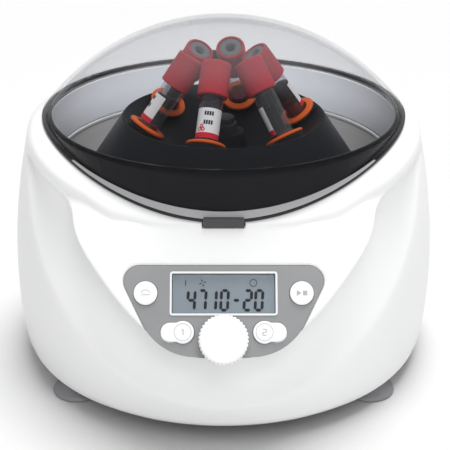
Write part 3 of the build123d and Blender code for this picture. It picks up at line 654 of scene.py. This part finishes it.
def window_outline(margin=0.0):
    half, top, bottom = WINDOW_HALF + margin, margin - WINDOW_TOP, -WINDOW_BOTTOM - margin
    corners = [(-half, top), (half, top), (half, bottom), (-half, bottom)]
    return rounded(corners, max(0.3, 1.2 + margin), 4)


def program_outline(side, margin=0.0):
    """A round key with a pill that reaches outwards."""
    radius, half = PROGRAM_RADIUS + margin, PROGRAM_HALF + margin
    meet = asin(half / radius)
    end = PROGRAM_END + margin - half
    outline = []
    for step in range(37):
        angle = meet + (2 * pi - 2 * meet) * step / 36
        outline.append((PROGRAM_X + radius * cos(angle), radius * sin(angle)))
    for step in range(21):
        angle = -pi / 2 + pi * step / 20
        outline.append((end + half * cos(angle), half * sin(angle)))
    return [(side * x, y - PROGRAM_S) for x, y in outline]


def key_outline(side, margin=0.0):
    return circle(side * KEY_X, -KEY_S, KEY_RADIUS + margin)


def panel_cutters(margin, shaft_radius):
    """What the window, the knob's shaft and the keys pass through."""
    outlines = [window_outline(margin), circle(0, -KNOB_S, shaft_radius)]
    for side in (-1, 1):
        outlines += [key_outline(side, margin), program_outline(side, margin)]
    return [prism(outline, -9, 5, PANEL) for outline in outlines]


def build_housing():
    notch_half = (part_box("hinge_bracket")[1].x / MM) + 0.4
    lip = [(-PANEL_THICK - PANEL_INSET, 0.15), (-1.2, 0.2), (-0.75, 0.4), (-0.4, 0.75), (-0.12, 1.3),
           (0.08, 2.0), (0.22, 2.8), (0.3, 3.6), (8, 3.7)]
    cuts = [[stacked(panel_outline(), lip, PANEL)],
            [box(-notch_half, notch_half, *HINGE_NOTCH)],
            panel_cutters(0.5, 4),
            [box(-TONGUE_HALF - 0.6, TONGUE_HALF + 0.6, -115, -102, TONGUE_LOW - 0.6, 125)],
            [box(*CATCH_SLOT, -107, -101, 95, 120)],
            [box(*REAR_OPENING)]]
    add_piece("housing_shell", [housing_shell()], WHITE, "housing", ["upper_housing"], 40,
              cuts)


def build_panel():
    holes = [[cutter] for cutter in panel_cutters(0.3, 3.8)]
    plate = prism(panel_outline(), -PANEL_INSET - PANEL_THICK, -PANEL_INSET, PANEL, 0.3)
    add_piece("panel_plate", [plate], PANEL_GREY, "housing", ["control_panel"], 35, holes)
    low, high = -PANEL_INSET - PANEL_THICK, 0.1
    bezel = tube_ring(window_outline(0.25), window_outline(-0.75), low, high, PANEL)
    add_piece("display_bezel", [bezel], BEZEL, "housing", ["display_frame"])
    glass = prism(window_outline(-0.8), -1.5, -0.7, PANEL)
    add_piece("display_glass", [glass], WINDOW, "housing", ["display_window"])
    screen = prism(window_outline(-1.0), -6.6, -2.4, PANEL)
    add_piece("display_screen", [screen], LCD_BACK, "housing", ["lcd_module"])
    add_piece("display_segments", display_segments(), LCD_INK, "housing")


# Segments of a digit as (x0, y0, x1, y1) on a 1 by 2 grid.
SEGMENT_LINES = {"a": (0, 2, 1, 2), "b": (1, 2, 1, 1), "c": (1, 1, 1, 0), "d": (0, 0, 1, 0),
                 "e": (0, 1, 0, 0), "f": (0, 2, 0, 1), "g": (0, 1, 1, 1)}
DIGITS = {"0": "abcdef", "1": "bc", "2": "abged", "4": "fgbc", "7": "abc", "-": "g"}
# What the display shows: each character and the X of its left edge.
READING = (("4", -18.6), ("7", -13.0), ("1", -7.7), ("0", -1.6), ("-", 4.5), ("2", 10.3), ("0", 16.0))
DIGIT_WIDTH, DIGIT_HEIGHT, DIGIT_BAR, DIGIT_LEAN = 3.5, 5.0, 1.5, 0.06
PRINT_LOW, PRINT_HIGH = 0.86, 0.93


def flat_bar(x0, y0, x1, y1, width, low, high, trim=0.0):
    """A bar with pointed ends between two points on the panel."""
    start, end = Vector((x0, y0)), Vector((x1, y1))
    along = (end - start).normalized()
    start, end = start + along * trim, end - along * trim
    across = Vector((-along.y, along.x)) * width / 2
    tip = along * width / 2
    outline = [start, start + across + tip, end + across - tip, end, end - across - tip, start - across + tip]
    return prism([tuple(p) for p in outline], low, high, PANEL)


def ring_mark(x, y, radius, width, low, high, steps=40):
    outer, inner = (circle(x, y, radius + side * width / 2, steps) for side in (1, -1))
    return tube_ring(outer, inner, low, high, PANEL)


def display_segments():
    """Speed and time digits with a running mark and a clock mark, just over the screen."""
    low, high = -2.4, -2.25
    shapes = []
    base = -WINDOW_BOTTOM + 2.7
    for character, x in READING:
        for name in DIGITS[character]:
            x0, y0, x1, y1 = SEGMENT_LINES[name]
            ends = [(x + DIGIT_WIDTH * a + DIGIT_LEAN * DIGIT_HEIGHT * b, base + DIGIT_HEIGHT * b)
                    for a, b in ((x0, y0), (x1, y1))]
            shapes.append(flat_bar(*ends[0], *ends[1], DIGIT_BAR, low, high, 0.2))
    top = -WINDOW_TOP - 5.4
    for i in range(4):
        angle = pi / 2 * i + 0.3
        near, far = 0.5, 1.9
        shapes.append(flat_bar(-10.8 + near * cos(angle), top + near * sin(angle), -10.8 + far * cos(angle),
                               top + far * sin(angle), 0.5, low, high))
    shapes.append(flat_bar(-19.5, top - 1.5, -19.5, top + 1.5, 0.4, low, high))
    shapes.append(ring_mark(15.2, top, 1.8, 0.3, low, high))
    return shapes


def key_stem(x, s):
    """The round stem from a key's cap down to its switch."""
    profile = [(2.4, -4.9), (2.4, -2.5), (0, -2.5), (0, -4.9)]
    return lathe(profile, 32, PANEL @ Matrix.Translation((x, -s, 0)))


def printed_bars(x, y, bars, width, trim=0.0):
    """Printed bars from (x0, y0, x1, y1) rows about a point."""
    return [flat_bar(x + x0, y + y0, x + x1, y + y1, width, PRINT_LOW, PRINT_HIGH, trim)
            for x0, y0, x1, y1 in bars]


def build_keys():
    crown = [(-2.6, 0), (0.45, 0), (0.7, -0.12), (0.84, -0.4), (0.9, -0.9)]
    for name, body, side in (("door_key", "door_button", -1), ("start_key", "start_button", 1)):
        cap = stacked(key_outline(side), crown, PANEL)
        add_piece(f"{name}_cap", [cap, key_stem(side * KEY_X, KEY_S)], KEY_WHITE, body, [name])
    turns = [pi * step / 12 for step in range(13)]
    arch = [(2.0 * cos(a), 0.1 + 1.5 * sin(a), 2.0 * cos(b), 0.1 + 1.5 * sin(b))
            for a, b in zip(turns, turns[1:])]
    marks = printed_bars(-KEY_X, -KEY_S, [(-2.2, -0.9, 2.2, -0.9)], 0.35)
    marks += printed_bars(-KEY_X, -KEY_S, arch, 0.3, -0.12)
    add_piece("door_key_print", marks, INK_GREY, "door_button")
    triangle = [(-2.6, -1.5), (-0.2, 0), (-2.6, 1.5)]
    square = [(0.5, -1.2), (2.7, -1.2), (2.7, 1.2), (0.5, 1.2)]
    marks = [prism([(KEY_X + x, y - KEY_S) for x, y in outline], PRINT_LOW, PRINT_HIGH, PANEL)
             for outline in (triangle, square)]
    add_piece("start_key_print", marks, INK_GREY, "start_button")
    for number, side in ((1, -1), (2, 1)):
        cap = stacked(program_outline(side), crown, PANEL)
        body = f"program_{number}_button"
        add_piece(f"program_key_{number}_cap", [cap, key_stem(side * PROGRAM_X, PROGRAM_S)], KEY_WHITE, body,
                  [f"program_key_{number}"])
        x, y = side * PROGRAM_X, -PROGRAM_S
        marks = [ring_mark(x, y, 4.3, 0.28, PRINT_LOW, PRINT_HIGH, 64)]
        if number == 1:
            marks += printed_bars(x, y, [(0.2, -1.5, 0.2, 1.5)], 0.5, -0.1)
            marks += printed_bars(x, y, [(-0.7, 0.9, 0.2, 1.5)], 0.4)
        else:
            marks += printed_bars(x, y, [(-0.9, 1.5, 0.9, 1.5), (0.9, 1.5, 0.9, 0.1), (0.9, 0.1, -0.9, -0.1),
                                         (-0.9, -0.1, -0.9, -1.5), (-0.9, -1.5, 0.9, -1.5)], 0.45, -0.12)
        add_piece(f"program_key_{number}_print", marks, INK_GREY, body)


def build_knob():
    """Fluted knob: flutes run up the side and fade out over the rounded top edge."""
    steps = KNOB_FLUTES * 8
    top = KNOB_HEIGHT + 0.2
    rows = [(KNOB_RADIUS - 0.4, 0.7, 1), (KNOB_RADIUS, 1.2, 1)]
    for step in range(7):
        angle = pi / 2 * step / 6
        rows.append((KNOB_RADIUS - 1.3 * (1 - cos(angle)), top - 1.3 + 1.3 * sin(angle), cos(angle) ** 0.7))
    rows += [(KNOB_RADIUS - 2.6, top - 0.06, 0), (KNOB_RADIUS - 5, top - 0.18, 0),
             (KNOB_RADIUS * 0.3, top - 0.25, 0)]
    points, faces = [], ring_faces(len(rows), steps)
    for radius, height, flute in rows:
        for i in range(steps):
            angle = 2 * pi * i / steps
            r = radius - KNOB_FLUTE_DEPTH * flute * (0.5 - 0.5 * cos(KNOB_FLUTES * angle)) ** 1.6
            points.append((r * sin(angle), r * cos(angle) - KNOB_S, height))
    last = (len(rows) - 1) * steps
    points.append((0, -KNOB_S, top - 0.26))
    faces += [(last + i, last + (i + 1) % steps, len(points) - 1) for i in range(steps)]
    faces.append(tuple(reversed(range(steps))))
    add_piece("control_knob_cap", [(placed(points, PANEL), faces)], KEY_WHITE, "knob",
              ["control_knob"], 50)


# ---------------------------------------------------------------- chamber

def build_chamber():
    r, t, low, lip = BOWL_RADIUS, BOWL_SHEET, BOWL_FLOOR, BOWL_LIP
    outer = [(16, low), (r + t, low), (r + t, lip - 1), (r + 1.8, lip - 1), (r + 1.8, lip),
             (r + 1.0, lip + 2.2), (r - 0.6, lip + 2.2), (r - 0.6, lip + 0.4), (r, lip - 0.6), (r, low + t),
             (16, low + t)]
    bowl = lathe(rounded(outer, [0, 12, 0, 0, 0.3, 0.8, 0.8, 0.5, 0.5, 11, 0], 8), 160)
    add_piece("chamber_bowl", [bowl], BOWL_STEEL, "housing", ["steel_bowl"], 40)
    gasket = [(102, lip + 0.1), (103, lip), (103, lip + 1.6), (102, lip + 2.1)]
    add_piece("chamber_gasket", [lathe(rounded(gasket, 0.3, 3), 160)], RUBBER, "housing",
              ["bowl_gasket"])

    def wall_section(turn):
        low, top = COLLAR_LOW, seam_height(102 * sin(turn)) - 0.3
        share = (top - low) / (SEAM_Z - low)
        return [(COLLAR_OUTER, low), (COLLAR_OUTER, top - 0.3), (103.4, top), (102.2, top),
                (101.8, top - 0.4), (100.6 + 1.1 * share, low + 0.6 * (top - low)), (100.8, low + 1.2),
                (101.0, low + 0.4), (101.3, low)]

    add_piece("chamber_wall", [hoop(wall_section)], COLLAR_GREY, "housing", ["chamber_collar"],
              40, [[box(*CATCH_SLOT, -110, -98, 95, 125)]])


# ---------------------------------------------------------------- lid

def dome_profile(inset, steps):
    """The dome from its top to the rounded corner, as (radius, height)."""
    height = LID_TOP_Z - LID_CORNER_Z
    ball = (SEAM_RADIUS**2 + height**2) / (2 * height)
    centre = LID_TOP_Z - ball
    ball -= inset
    side = SEAM_RADIUS - inset
    round_radius = LID_CORNER_ROUND - inset
    # The corner's arc touches the ball inside and the upright side.
    arc_x = side - round_radius
    arc_z = centre + sqrt((ball - round_radius) ** 2 - arc_x**2)
    touch = atan2(arc_x, arc_z - centre)
    turns = [touch * i / steps for i in range(steps + 1)]
    profile = [(ball * sin(turn), centre + ball * cos(turn)) for turn in turns]
    for i in range(1, 7):
        angle = (pi / 2 - touch) * (1 - i / 6)
        profile.append((arc_x + round_radius * cos(angle), arc_z + round_radius * sin(angle)))
    return profile


# The skirt's lower edge stands out like a bead. Up to an angle from the front, the bead's faces take a pale
# frosted finish: a painted highlight standing in for the light the bead reflects.
FLARE_OUT, FLARE_RISE, FLARE_END = 1.5, 4.2, cos(radians(50))
LID_INNER = SEAM_RADIUS - LID_THICK
RIM_ROUND_LOW = 141.3  # where the black rim starts to follow the dome's rounded corner


def lid_edge(turn, radius=SEAM_RADIUS):
    return seam_height(radius * sin(turn)) + LID_GAP + SEAL_HEIGHT


def build_lid():
    columns = 180
    outer, inner = dome_profile(0, 40), dome_profile(LID_THICK, 40)
    points, faces, painted_highlight_flags = [(0, 0, outer[0][1]), (0, 0, inner[0][1])], [], []
    for column in range(columns):
        turn = 2 * pi * column / columns
        foot = lid_edge(turn)
        front = max(0.0, -sin(turn))
        flare = FLARE_OUT * front
        side = [(r - flare * smooth_step((r - 96) / 11), z) for r, z in outer[1:]]
        start = side[-1][1]
        rise = 0.8 + (FLARE_RISE - 0.8) * max(0.0, (front - FLARE_END) / (1 - FLARE_END))
        side += [(SEAM_RADIUS - flare, start + (foot + rise - start) * t / 5) for t in range(1, 6)]
        side += [(SEAM_RADIUS - flare * 0.15, foot + 0.7), (SEAM_RADIUS, foot + 0.25),
                 (SEAM_RADIUS - 0.2, foot)]
        wall = [(LID_INNER, foot), (LID_INNER, 0.5 * (foot + start))]
        wall += [(min(r, LID_INNER) - flare * smooth_step((r - 96) / 9) * 0.3, z) for r, z in inner[:0:-1]]
        points += [(r * cos(turn), r * sin(turn), z) for r, z in side + wall]
    size = (len(points) - 2) // columns
    for column in range(columns):
        left, right = 2 + column * size, 2 + (column + 1) % columns * size
        faces.append((0, left, right))
        faces += [(left + i, left + i + 1, right + i + 1, right + i) for i in range(size - 1)]
        faces.append((left + size - 1, 1, right + size - 1))
        # Bead faces within FLARE_END of the front take the pale frosted finish: a painted highlight.
        lit = -sin(2 * pi * (column + 0.5) / columns) > FLARE_END
        bead = len(outer) + 3
        painted_highlight_flags += [0] + [int(lit and i in (bead, bead + 1)) for i in range(size - 1)] + [0]
    add_piece("lid_dome_skin", [(points, faces, painted_highlight_flags)], [SMOKE, SMOKE_PAINTED_HIGHLIGHT], "lid",
              ["lid_dome"], 50)

    top = LID_CORNER_Z + 0.5
    inner_round = LID_CORNER_ROUND - LID_THICK

    def rim_section(turn):
        foot = lid_edge(turn)
        front = max(0.0, -sin(turn))

        def outside(z):
            lean = inner_round - sqrt(inner_round**2 - min(2.4, max(0.0, z - RIM_ROUND_LOW)) ** 2)
            return LID_INNER - 0.05 - FLARE_OUT * 0.3 * front - lean

        heights = [foot + t * (top - foot) for t in (0, 0.3, 0.6, 0.8, 0.9, 1)]
        inside = [(RIM_INNER + 0.5, top), (RIM_INNER, top - 0.3)]
        return [(RIM_INNER, foot)] + [(outside(z), z) for z in heights] + inside

    add_piece("lid_rim_hoop", [hoop(rim_section)], GLOSS_BLACK, "lid", ["lid_rim"])

    def seal_section(turn):
        foot = seam_height(SEAM_RADIUS * sin(turn)) + LID_GAP
        high = foot + SEAL_HEIGHT
        return [(SEAL_INNER, foot), (SEAM_RADIUS - 0.5, foot), (SEAM_RADIUS, foot + 0.5),
                (SEAM_RADIUS, high - 0.3), (SEAM_RADIUS - 0.3, high), (SEAL_INNER, high)]

    add_piece("lid_seal_hoop", [hoop(seal_section)], RUBBER, "lid", ["lid_seal"])

    y_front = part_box("lid_tongue")[0].y / MM - AXIS_Y
    half = TONGUE_HALF
    corners = [(-half, TONGUE_LOW), (half, TONGUE_LOW), (half, TONGUE_HIGH), (-half, TONGUE_HIGH)]
    outline = rounded(corners, [0.5, 0.5, 0.9, 0.9], 4)
    stand = Matrix(((1, 0, 0, 0), (0, 0, -1, 0), (0, 1, 0, 0), (0, 0, 0, 1)))
    plate = prism(outline, SEAM_RADIUS + 0.05, -y_front, stand, 0.35)
    shelf = box(0.4 - half, half - 0.4, -SEAM_RADIUS - 0.06, -104.7, TONGUE_LOW + 0.1, TONGUE_LOW + 1.5)
    add_piece("lid_tongue_plate", [plate, shelf], TONGUE_SMOKE, "lid", ["lid_tongue"])


# ---------------------------------------------------------------- rotor

def tube_place(index):
    """Place of a tube's axis at the adapter flange; its Z points up out of the rotor."""
    azimuth = radians(ROTOR_TURN + 360 / TUBE_COUNT * index - 90)
    return (Matrix.Rotation(azimuth, 4, "Z") @ Matrix.Translation((RING_RADIUS, 0, RING_Z))
            @ Matrix.Rotation(-TUBE_LEAN, 4, "Y"))


def round_end(radius, low, steps=8):
    """Profile of a hemispherical lower end, from the axis outwards."""
    turns = [pi / 2 * i / steps for i in range(steps + 1)]
    return [(radius * sin(turn), low + radius - radius * cos(turn)) for turn in turns]


def in_each_tube(profile, steps, *index):
    """A profile turned about each tube's axis."""
    return [(*lathe(profile, steps, tube_place(i)), *index) for i in range(TUBE_COUNT)]


def build_rotor():
    dish = ROTOR_RIM_Z - (ROTOR_RIM_RADIUS - 26) * tan(TUBE_LEAN)
    profile = [(SHAFT_RADIUS, ROTOR_BOTTOM + 2), (18, ROTOR_BOTTOM + 2), (18, 92), (60, 92),
               (60, ROTOR_BOTTOM), (94, ROTOR_BOTTOM), (ROTOR_RADIUS, ROTOR_BOTTOM + 4), (ROTOR_RADIUS, 84.6),
               (ROTOR_RIM_RADIUS + 1, ROTOR_RIM_Z - 0.6), (ROTOR_RIM_RADIUS, ROTOR_RIM_Z), (26, dish),
               (15, dish), (12, 128), (SHAFT_RADIUS, 128)]
    radii = [0, 1, 1, 1, 1, 2, 2, 2.5, 1.0, 0.6, 3, 2, 1, 0]
    bore = [(HOLDER_BORE, -HOLDER_DEPTH), (HOLDER_BORE, 20), (0, 20), (0, -HOLDER_DEPTH)]
    holes = [[hole] for hole in in_each_tube(bore, 64)]
    seat = [(0, SEAT_FOOT), (SEAT_RADIUS, SEAT_FOOT), (SEAT_RADIUS, SEAT_TOP), (0, SEAT_TOP)]
    seats = in_each_tube(rounded(seat, [0, 0, 0.6, 0], 4), 64)
    cone = joined(lathe(rounded(profile, radii, 4), 192), seats)
    add_piece("rotor_cone", [cone], ROTOR_BLACK, "rotor", ["rotor_body"], 40, holes)

    outline = []
    for i in range(240):
        angle = 2 * pi * i / 240
        radius = 8 - 0.45 * (0.5 - 0.5 * cos(24 * angle)) ** 2
        outline.append((radius * cos(angle), radius * sin(angle)))
    collar = prism(outline, 128, 133, None, 0.5)
    crown = lathe(rounded([(0, 132.8), (6.4, 132.8), (6.4, 137), (0, 137)], [0, 0, 1, 0], 4), 64)
    add_piece("rotor_nut_knob", [collar, crown], DARK, "rotor", ["rotor_nut"])

    sleeve = [(0, -HOLDER_DEPTH + 2), (6, -HOLDER_DEPTH + 2), (8.3, -HOLDER_DEPTH + 6), (8.3, -0.9),
              (11.4, -0.9), (11.4, 0.9), (7.3, 1.3), (6.9, -1.5), (6.9, -TUBE_END - 0.2),
              (0, -TUBE_END - 0.2)]
    sleeve = rounded(sleeve, [0, 1, 1, 0.3, 0.7, 0.8, 0.5, 0.5, 0.5, 0], 3)
    add_piece("adapter_sleeves", in_each_tube(sleeve, 72), ORANGE, "rotor",
              ["tube_adapters"], 40)

    wall = round_end(TUBE_RADIUS, -TUBE_END) + [(TUBE_RADIUS, TUBE_TOP - 0.3), (TUBE_RADIUS - 0.3, TUBE_TOP),
                                                (TUBE_BORE + 0.3, TUBE_TOP), (TUBE_BORE, TUBE_TOP - 0.3)]
    wall += round_end(TUBE_BORE, -TUBE_END + 1)[::-1]
    for i in range(TUBE_COUNT):
        place = tube_place(i)
        tube = lathe(wall, 56, place)
        add_piece(f"tube_{i + 1}_wall", [tube], TUBE_CLEAR, "rotor", [f"sample_tube_{i + 1}"],
                  50)
        add_piece(f"tube_{i + 1}_cap_ribbed", [ribbed_cap(place)], CAP_RED, "rotor",
                  [f"tube_cap_{i + 1}"], 50)
    well = CAP_TOP - 3.2
    stopper = [(0, TUBE_TOP - 6), (5.2, TUBE_TOP - 6), (5.2, CAP_TOP - 2.3), (STOPPER_HEAD, CAP_TOP - 2.3),
               (STOPPER_HEAD, CAP_TOP - 0.5), (3.1, CAP_TOP - 0.6), (2.3, well), (0, well)]
    stopper = rounded(stopper, [0, 0.5, 0.3, 0.2, 1.0, 0.7, 0.3, 0], 4)
    # A dark disc just over the floor of each stopper's well: painted shade that deepens the recess.
    well_shade_disc = [(0, well + 0.02), (2.2, well + 0.02), (2.2, well + 0.12), (0, well + 0.12)]
    stoppers = in_each_tube(stopper, 48) + in_each_tube(well_shade_disc, 48, 1)
    add_piece("stopper_set", stoppers, [STOPPER, DARK], "rotor", ["tube_stoppers"])
    samples = []
    for i in range(TUBE_COUNT):
        level = 8 if i % 2 == 0 else 3
        profile = round_end(TUBE_BORE - 0.04, -TUBE_END + 1.04)
        profile += [(TUBE_BORE - 0.04, level), (TUBE_BORE - 0.9, level - 0.5), (0, level - 0.6)]
        samples.append(lathe(profile, 48, tube_place(i)))
    add_piece("sample_set", samples, BLOOD, "rotor", ["blood_samples"], 40)


def ribbed_cap(place):
    """Cap with fine upright ribs round its side and a rim round the stopper."""
    low, high = CAP_TOP - CAP_LENGTH, CAP_TOP
    steps = CAP_RIBS * 4
    rim, well, lip = CAP_RADIUS, STOPPER_HEAD, TUBE_RADIUS + 0.05
    rows = [(lip, low, 0), (rim - 0.4, low, 0), (rim, low + 0.4, 0.2), (rim, low + 1.2, 1),
            (rim, high - 2.6, 1), (rim, high - 2.0, 0), (rim, high - 1.2, 0), (rim - 0.25, high - 0.4, 0),
            (rim - 0.7, high, 0), (well + 0.3, high, 0), (well + 0.1, high - 0.3, 0),
            (well + 0.1, high - 2.4, 0), (5.3, high - 2.4, 0), (5.3, TUBE_TOP, 0), (lip, TUBE_TOP, 0)]
    points = []
    for radius, height, rib in rows:
        for i in range(steps):
            angle = 2 * pi * i / steps
            r = radius - 0.22 * rib * (0.5 - 0.5 * cos(CAP_RIBS * angle))
            points.append((r * cos(angle), r * sin(angle), height))
    return placed(points, place), ring_faces(len(rows), steps, True)


def curved_patch(place, radius, thick, start, end, low, high, index=0, steps=28):
    """A patch bent round a tube, between two angles and two heights."""
    section = [(radius, low), (radius + thick, low), (radius + thick, high), (radius, high)]
    points, faces = lathe(section, steps, place, start, end - start)
    return points, faces, index


# The tubes that carry a label, and which way each label faces, in degrees about its tube from the side
# that looks away from the axis.
LABELLED = (True, True, True, False, True, True)
LABEL_TURNS = (0, 190, 35, 150, 0, -20)
LABEL_LOW, LABEL_BAND, LABEL_TOP = 3.2, 6.2, 20.5
PAPER_SLOT, RED_SLOT, INK_SLOT = 0, 1, 2


def build_labels():
    """Paper labels with a red band, two rows of plain dashes and a mark of rings."""
    shapes = []
    half = radians(88)
    inner = TUBE_RADIUS + 0.02
    print_at = inner + 0.13
    for i in range(TUBE_COUNT):
        if not LABELLED[i]:
            continue
        place = tube_place(i)
        middle = radians(LABEL_TURNS[i])
        ends = (middle - half, middle + half)
        shapes.append(curved_patch(place, inner, 0.12, *ends, LABEL_LOW, LABEL_TOP, PAPER_SLOT))
        shapes.append(curved_patch(place, print_at, 0.05, *ends, LABEL_LOW, LABEL_BAND, RED_SLOT))
        for row in range(2):
            high = LABEL_TOP - 2 - 5.2 * row
            for dash in range(4):
                first = middle + radians(-14 + 12 * dash)
                last = first + radians(9)
                shapes.append(curved_patch(place, print_at, 0.04, first, last, high - 2.4, high, INK_SLOT, 4))
        shapes += clover(place, print_at, middle - radians(22), 8.6)
    add_piece("label_set", shapes, [PAPER, LABEL_RED, INK], "rotor", ["tube_labels"], 40)


def clover(place, radius, turn, height):
    """A plain mark of three small rings, bent round a tube."""
    rings = []
    for step in range(3):
        angle = pi / 2 + 2 * pi * step / 3
        centre = (1.25 * cos(angle), 1.25 * sin(angle))
        outlines = (circle(*centre, 1.15, 20), circle(*centre, 0.55, 20))
        flat, faces = tube_ring(*outlines, 0.0, 0.05)
        bent = []
        for x, y, lift in flat:
            bend = turn + x / radius
            bent.append(((radius + lift) * cos(bend), (radius + lift) * sin(bend), height + y))
        rings.append((placed(bent, place), faces, RED_SLOT))
    return rings


# ---------------------------------------------------------------- feet and the rest

def build_feet():
    profile = [(0, 0), (FOOT_RADIUS - 0.6, 0), (FOOT_RADIUS, 0.8), (FOOT_RADIUS - 1.2, 2.4),
               (10, FOOT_DISC), (7.5, 5.2), (7.5, HOUSING_BOTTOM), (1.7, HOUSING_BOTTOM), (1.7, 3.2),
               (0, 3.2)]
    profile = rounded(profile, [0, 0.3, 0.6, 1.2, 2, 1, 0, 0, 0, 0], 4)
    feet = []
    for x in (-FOOT_X, FOOT_X):
        for y in (-FOOT_SPREAD_Y, FOOT_SPREAD_Y):
            feet.append(lathe(profile, 72, Matrix.Translation((x, y - FRONT_SHIFT, 0))))
    add_piece("suction_foot_set", feet, FOOT_RUBBER, "housing", ["suction_feet"])


CAD_FINISHES = {
    "base_pan": BASE_GREY, "rear_panel": BASE_GREY, "control_board": BOARD, "key_switches": DARK,
    "encoder_body": ZINC, "encoder_shaft": STEEL, "power_board": BOARD, "shaft_grommet": RUBBER,
    "motor_housing": ZINC, "shaft_bearings": STEEL, "motor_plate": ZINC, "motor_dampers": RUBBER,
    "chassis_screws": STEEL, "hinge_bracket": DARK, "hinge_pin": STEEL, "latch_housing": DARK,
    "mains_inlet": DARK, "inlet_pins": CHROME, "switch_frame": DARK, "lid_striker": CHROME, "hinge_arm": DARK,
    "motor_shaft": STEEL, "power_rocker": GLOSS_BLACK, "latch_bolt": STEEL,
}
SOFT_EDGES = {
    "base_pan": 0.4, "rear_panel": 0.6, "hinge_bracket": 0.8, "hinge_arm": 0.5, "mains_inlet": 0.5,
    "switch_frame": 0.4, "power_rocker": 0.4, "latch_housing": 0.3, "lid_striker": 0.2, "latch_bolt": 0.2,
}


def finish_cad_nodes():
    """The plain mechanical parts keep their shape, with a finish and softened edges."""
    for name, material in CAD_FINISHES.items():
        node = frame["nodes"][name]
        node.data.materials.clear()
        node.data.materials.append(material)
        if name in SOFT_EDGES:
            bevel = node.modifiers.new("soft_edges", "BEVEL")
            bevel.width = SOFT_EDGES[name] * MM
            bevel.segments = 2
            bevel.limit_method = "ANGLE"
            bevel.angle_limit = radians(40)


# ---------------------------------------------------------------- stage

def build_stage():
    mesh = bpy.data.meshes.new("floor")
    reach = 6.0
    corners = [(-reach, -reach, 0), (reach, -reach, 0), (reach, reach, 0), (-reach, reach, 0)]
    mesh.from_pydata(corners, [], [(0, 1, 2, 3)])
    floor = bpy.data.objects.new("floor", mesh)
    bpy.context.scene.collection.objects.link(floor)
    material, tree, shader = shader_nodes("floor_white")
    set_inputs(shader, {"Base Color": (0.9, 0.9, 0.9, 1), "Roughness": 0.7})
    mesh.materials.append(material)


def add_lamp(name, kind, place, target, power, size):
    """A lamp that aims at a target and doesn't show in glossy surfaces. Its size is a sun's angle."""
    lamp = bpy.data.lights.new(name, kind)
    lamp.energy = power
    if kind == "SUN":
        lamp.angle = size
    else:
        lamp.size = size
    light = bpy.data.objects.new(name, lamp)
    bpy.context.scene.collection.objects.link(light)
    light.location = place
    light.rotation_euler = (Vector(target) - Vector(place)).to_track_quat("-Z", "Y").to_euler()
    light.visible_glossy = False
    return light


def link_light(light, names, state):
    """Limits a lamp to some pieces, or keeps it off them."""
    receivers = bpy.data.collections.new(f"{light.name}_receivers")
    for name in names:
        receivers.objects.link(bpy.data.objects[name])
    for entry in receivers.collection_objects:
        entry.light_linking.link_state = state
    light.light_linking.receiver_collection = receivers


def build_light():
    world = bpy.data.worlds.new("studio")
    world.use_nodes = True
    background = world.node_tree.nodes["Background"]
    set_inputs(background, {"Color": (1, 1, 1, 1), "Strength": 0.36})
    bpy.context.scene.world = world
    middle = (0, 0, 0.1)
    add_lamp("overhead", "SUN", (0.1, 0.25, 1.0), (0, 0, 0), 2.6, radians(35))
    fill = add_lamp("front_fill", "AREA", (0.2, -1.5, 1.2), middle, 15, 1.0)
    # The fill lights the machine alone, so that its contact shadow on the floor stays dark.
    link_light(fill, ["floor"], "EXCLUDE")
    inside = add_lamp("chamber_fill", "SUN", (0, -0.9, 1.0), (0, 0, 0), 3.6, radians(30))
    link_light(inside, ["chamber_wall", "chamber_bowl"], "INCLUDE")
    bpy.context.scene.view_settings.view_transform = "Standard"


def build_camera():
    camera = bpy.data.objects.new("camera", bpy.data.cameras.new("camera"))
    camera.data.lens = 84.4
    camera.data.sensor_width = 36
    camera.data.shift_x = 0.003
    camera.location = (0, -0.6 + AXIS_Y * MM, 0.344)
    camera.rotation_euler = (radians(90 - 24.95), 0, 0)
    bpy.context.scene.collection.objects.link(camera)
    bpy.context.scene.camera = camera


build_camera()
build_housing()
build_panel()
build_keys()
build_knob()
build_chamber()
build_lid()
build_rotor()
build_labels()
build_feet()
finish_cad_nodes()
build_stage()
build_light()
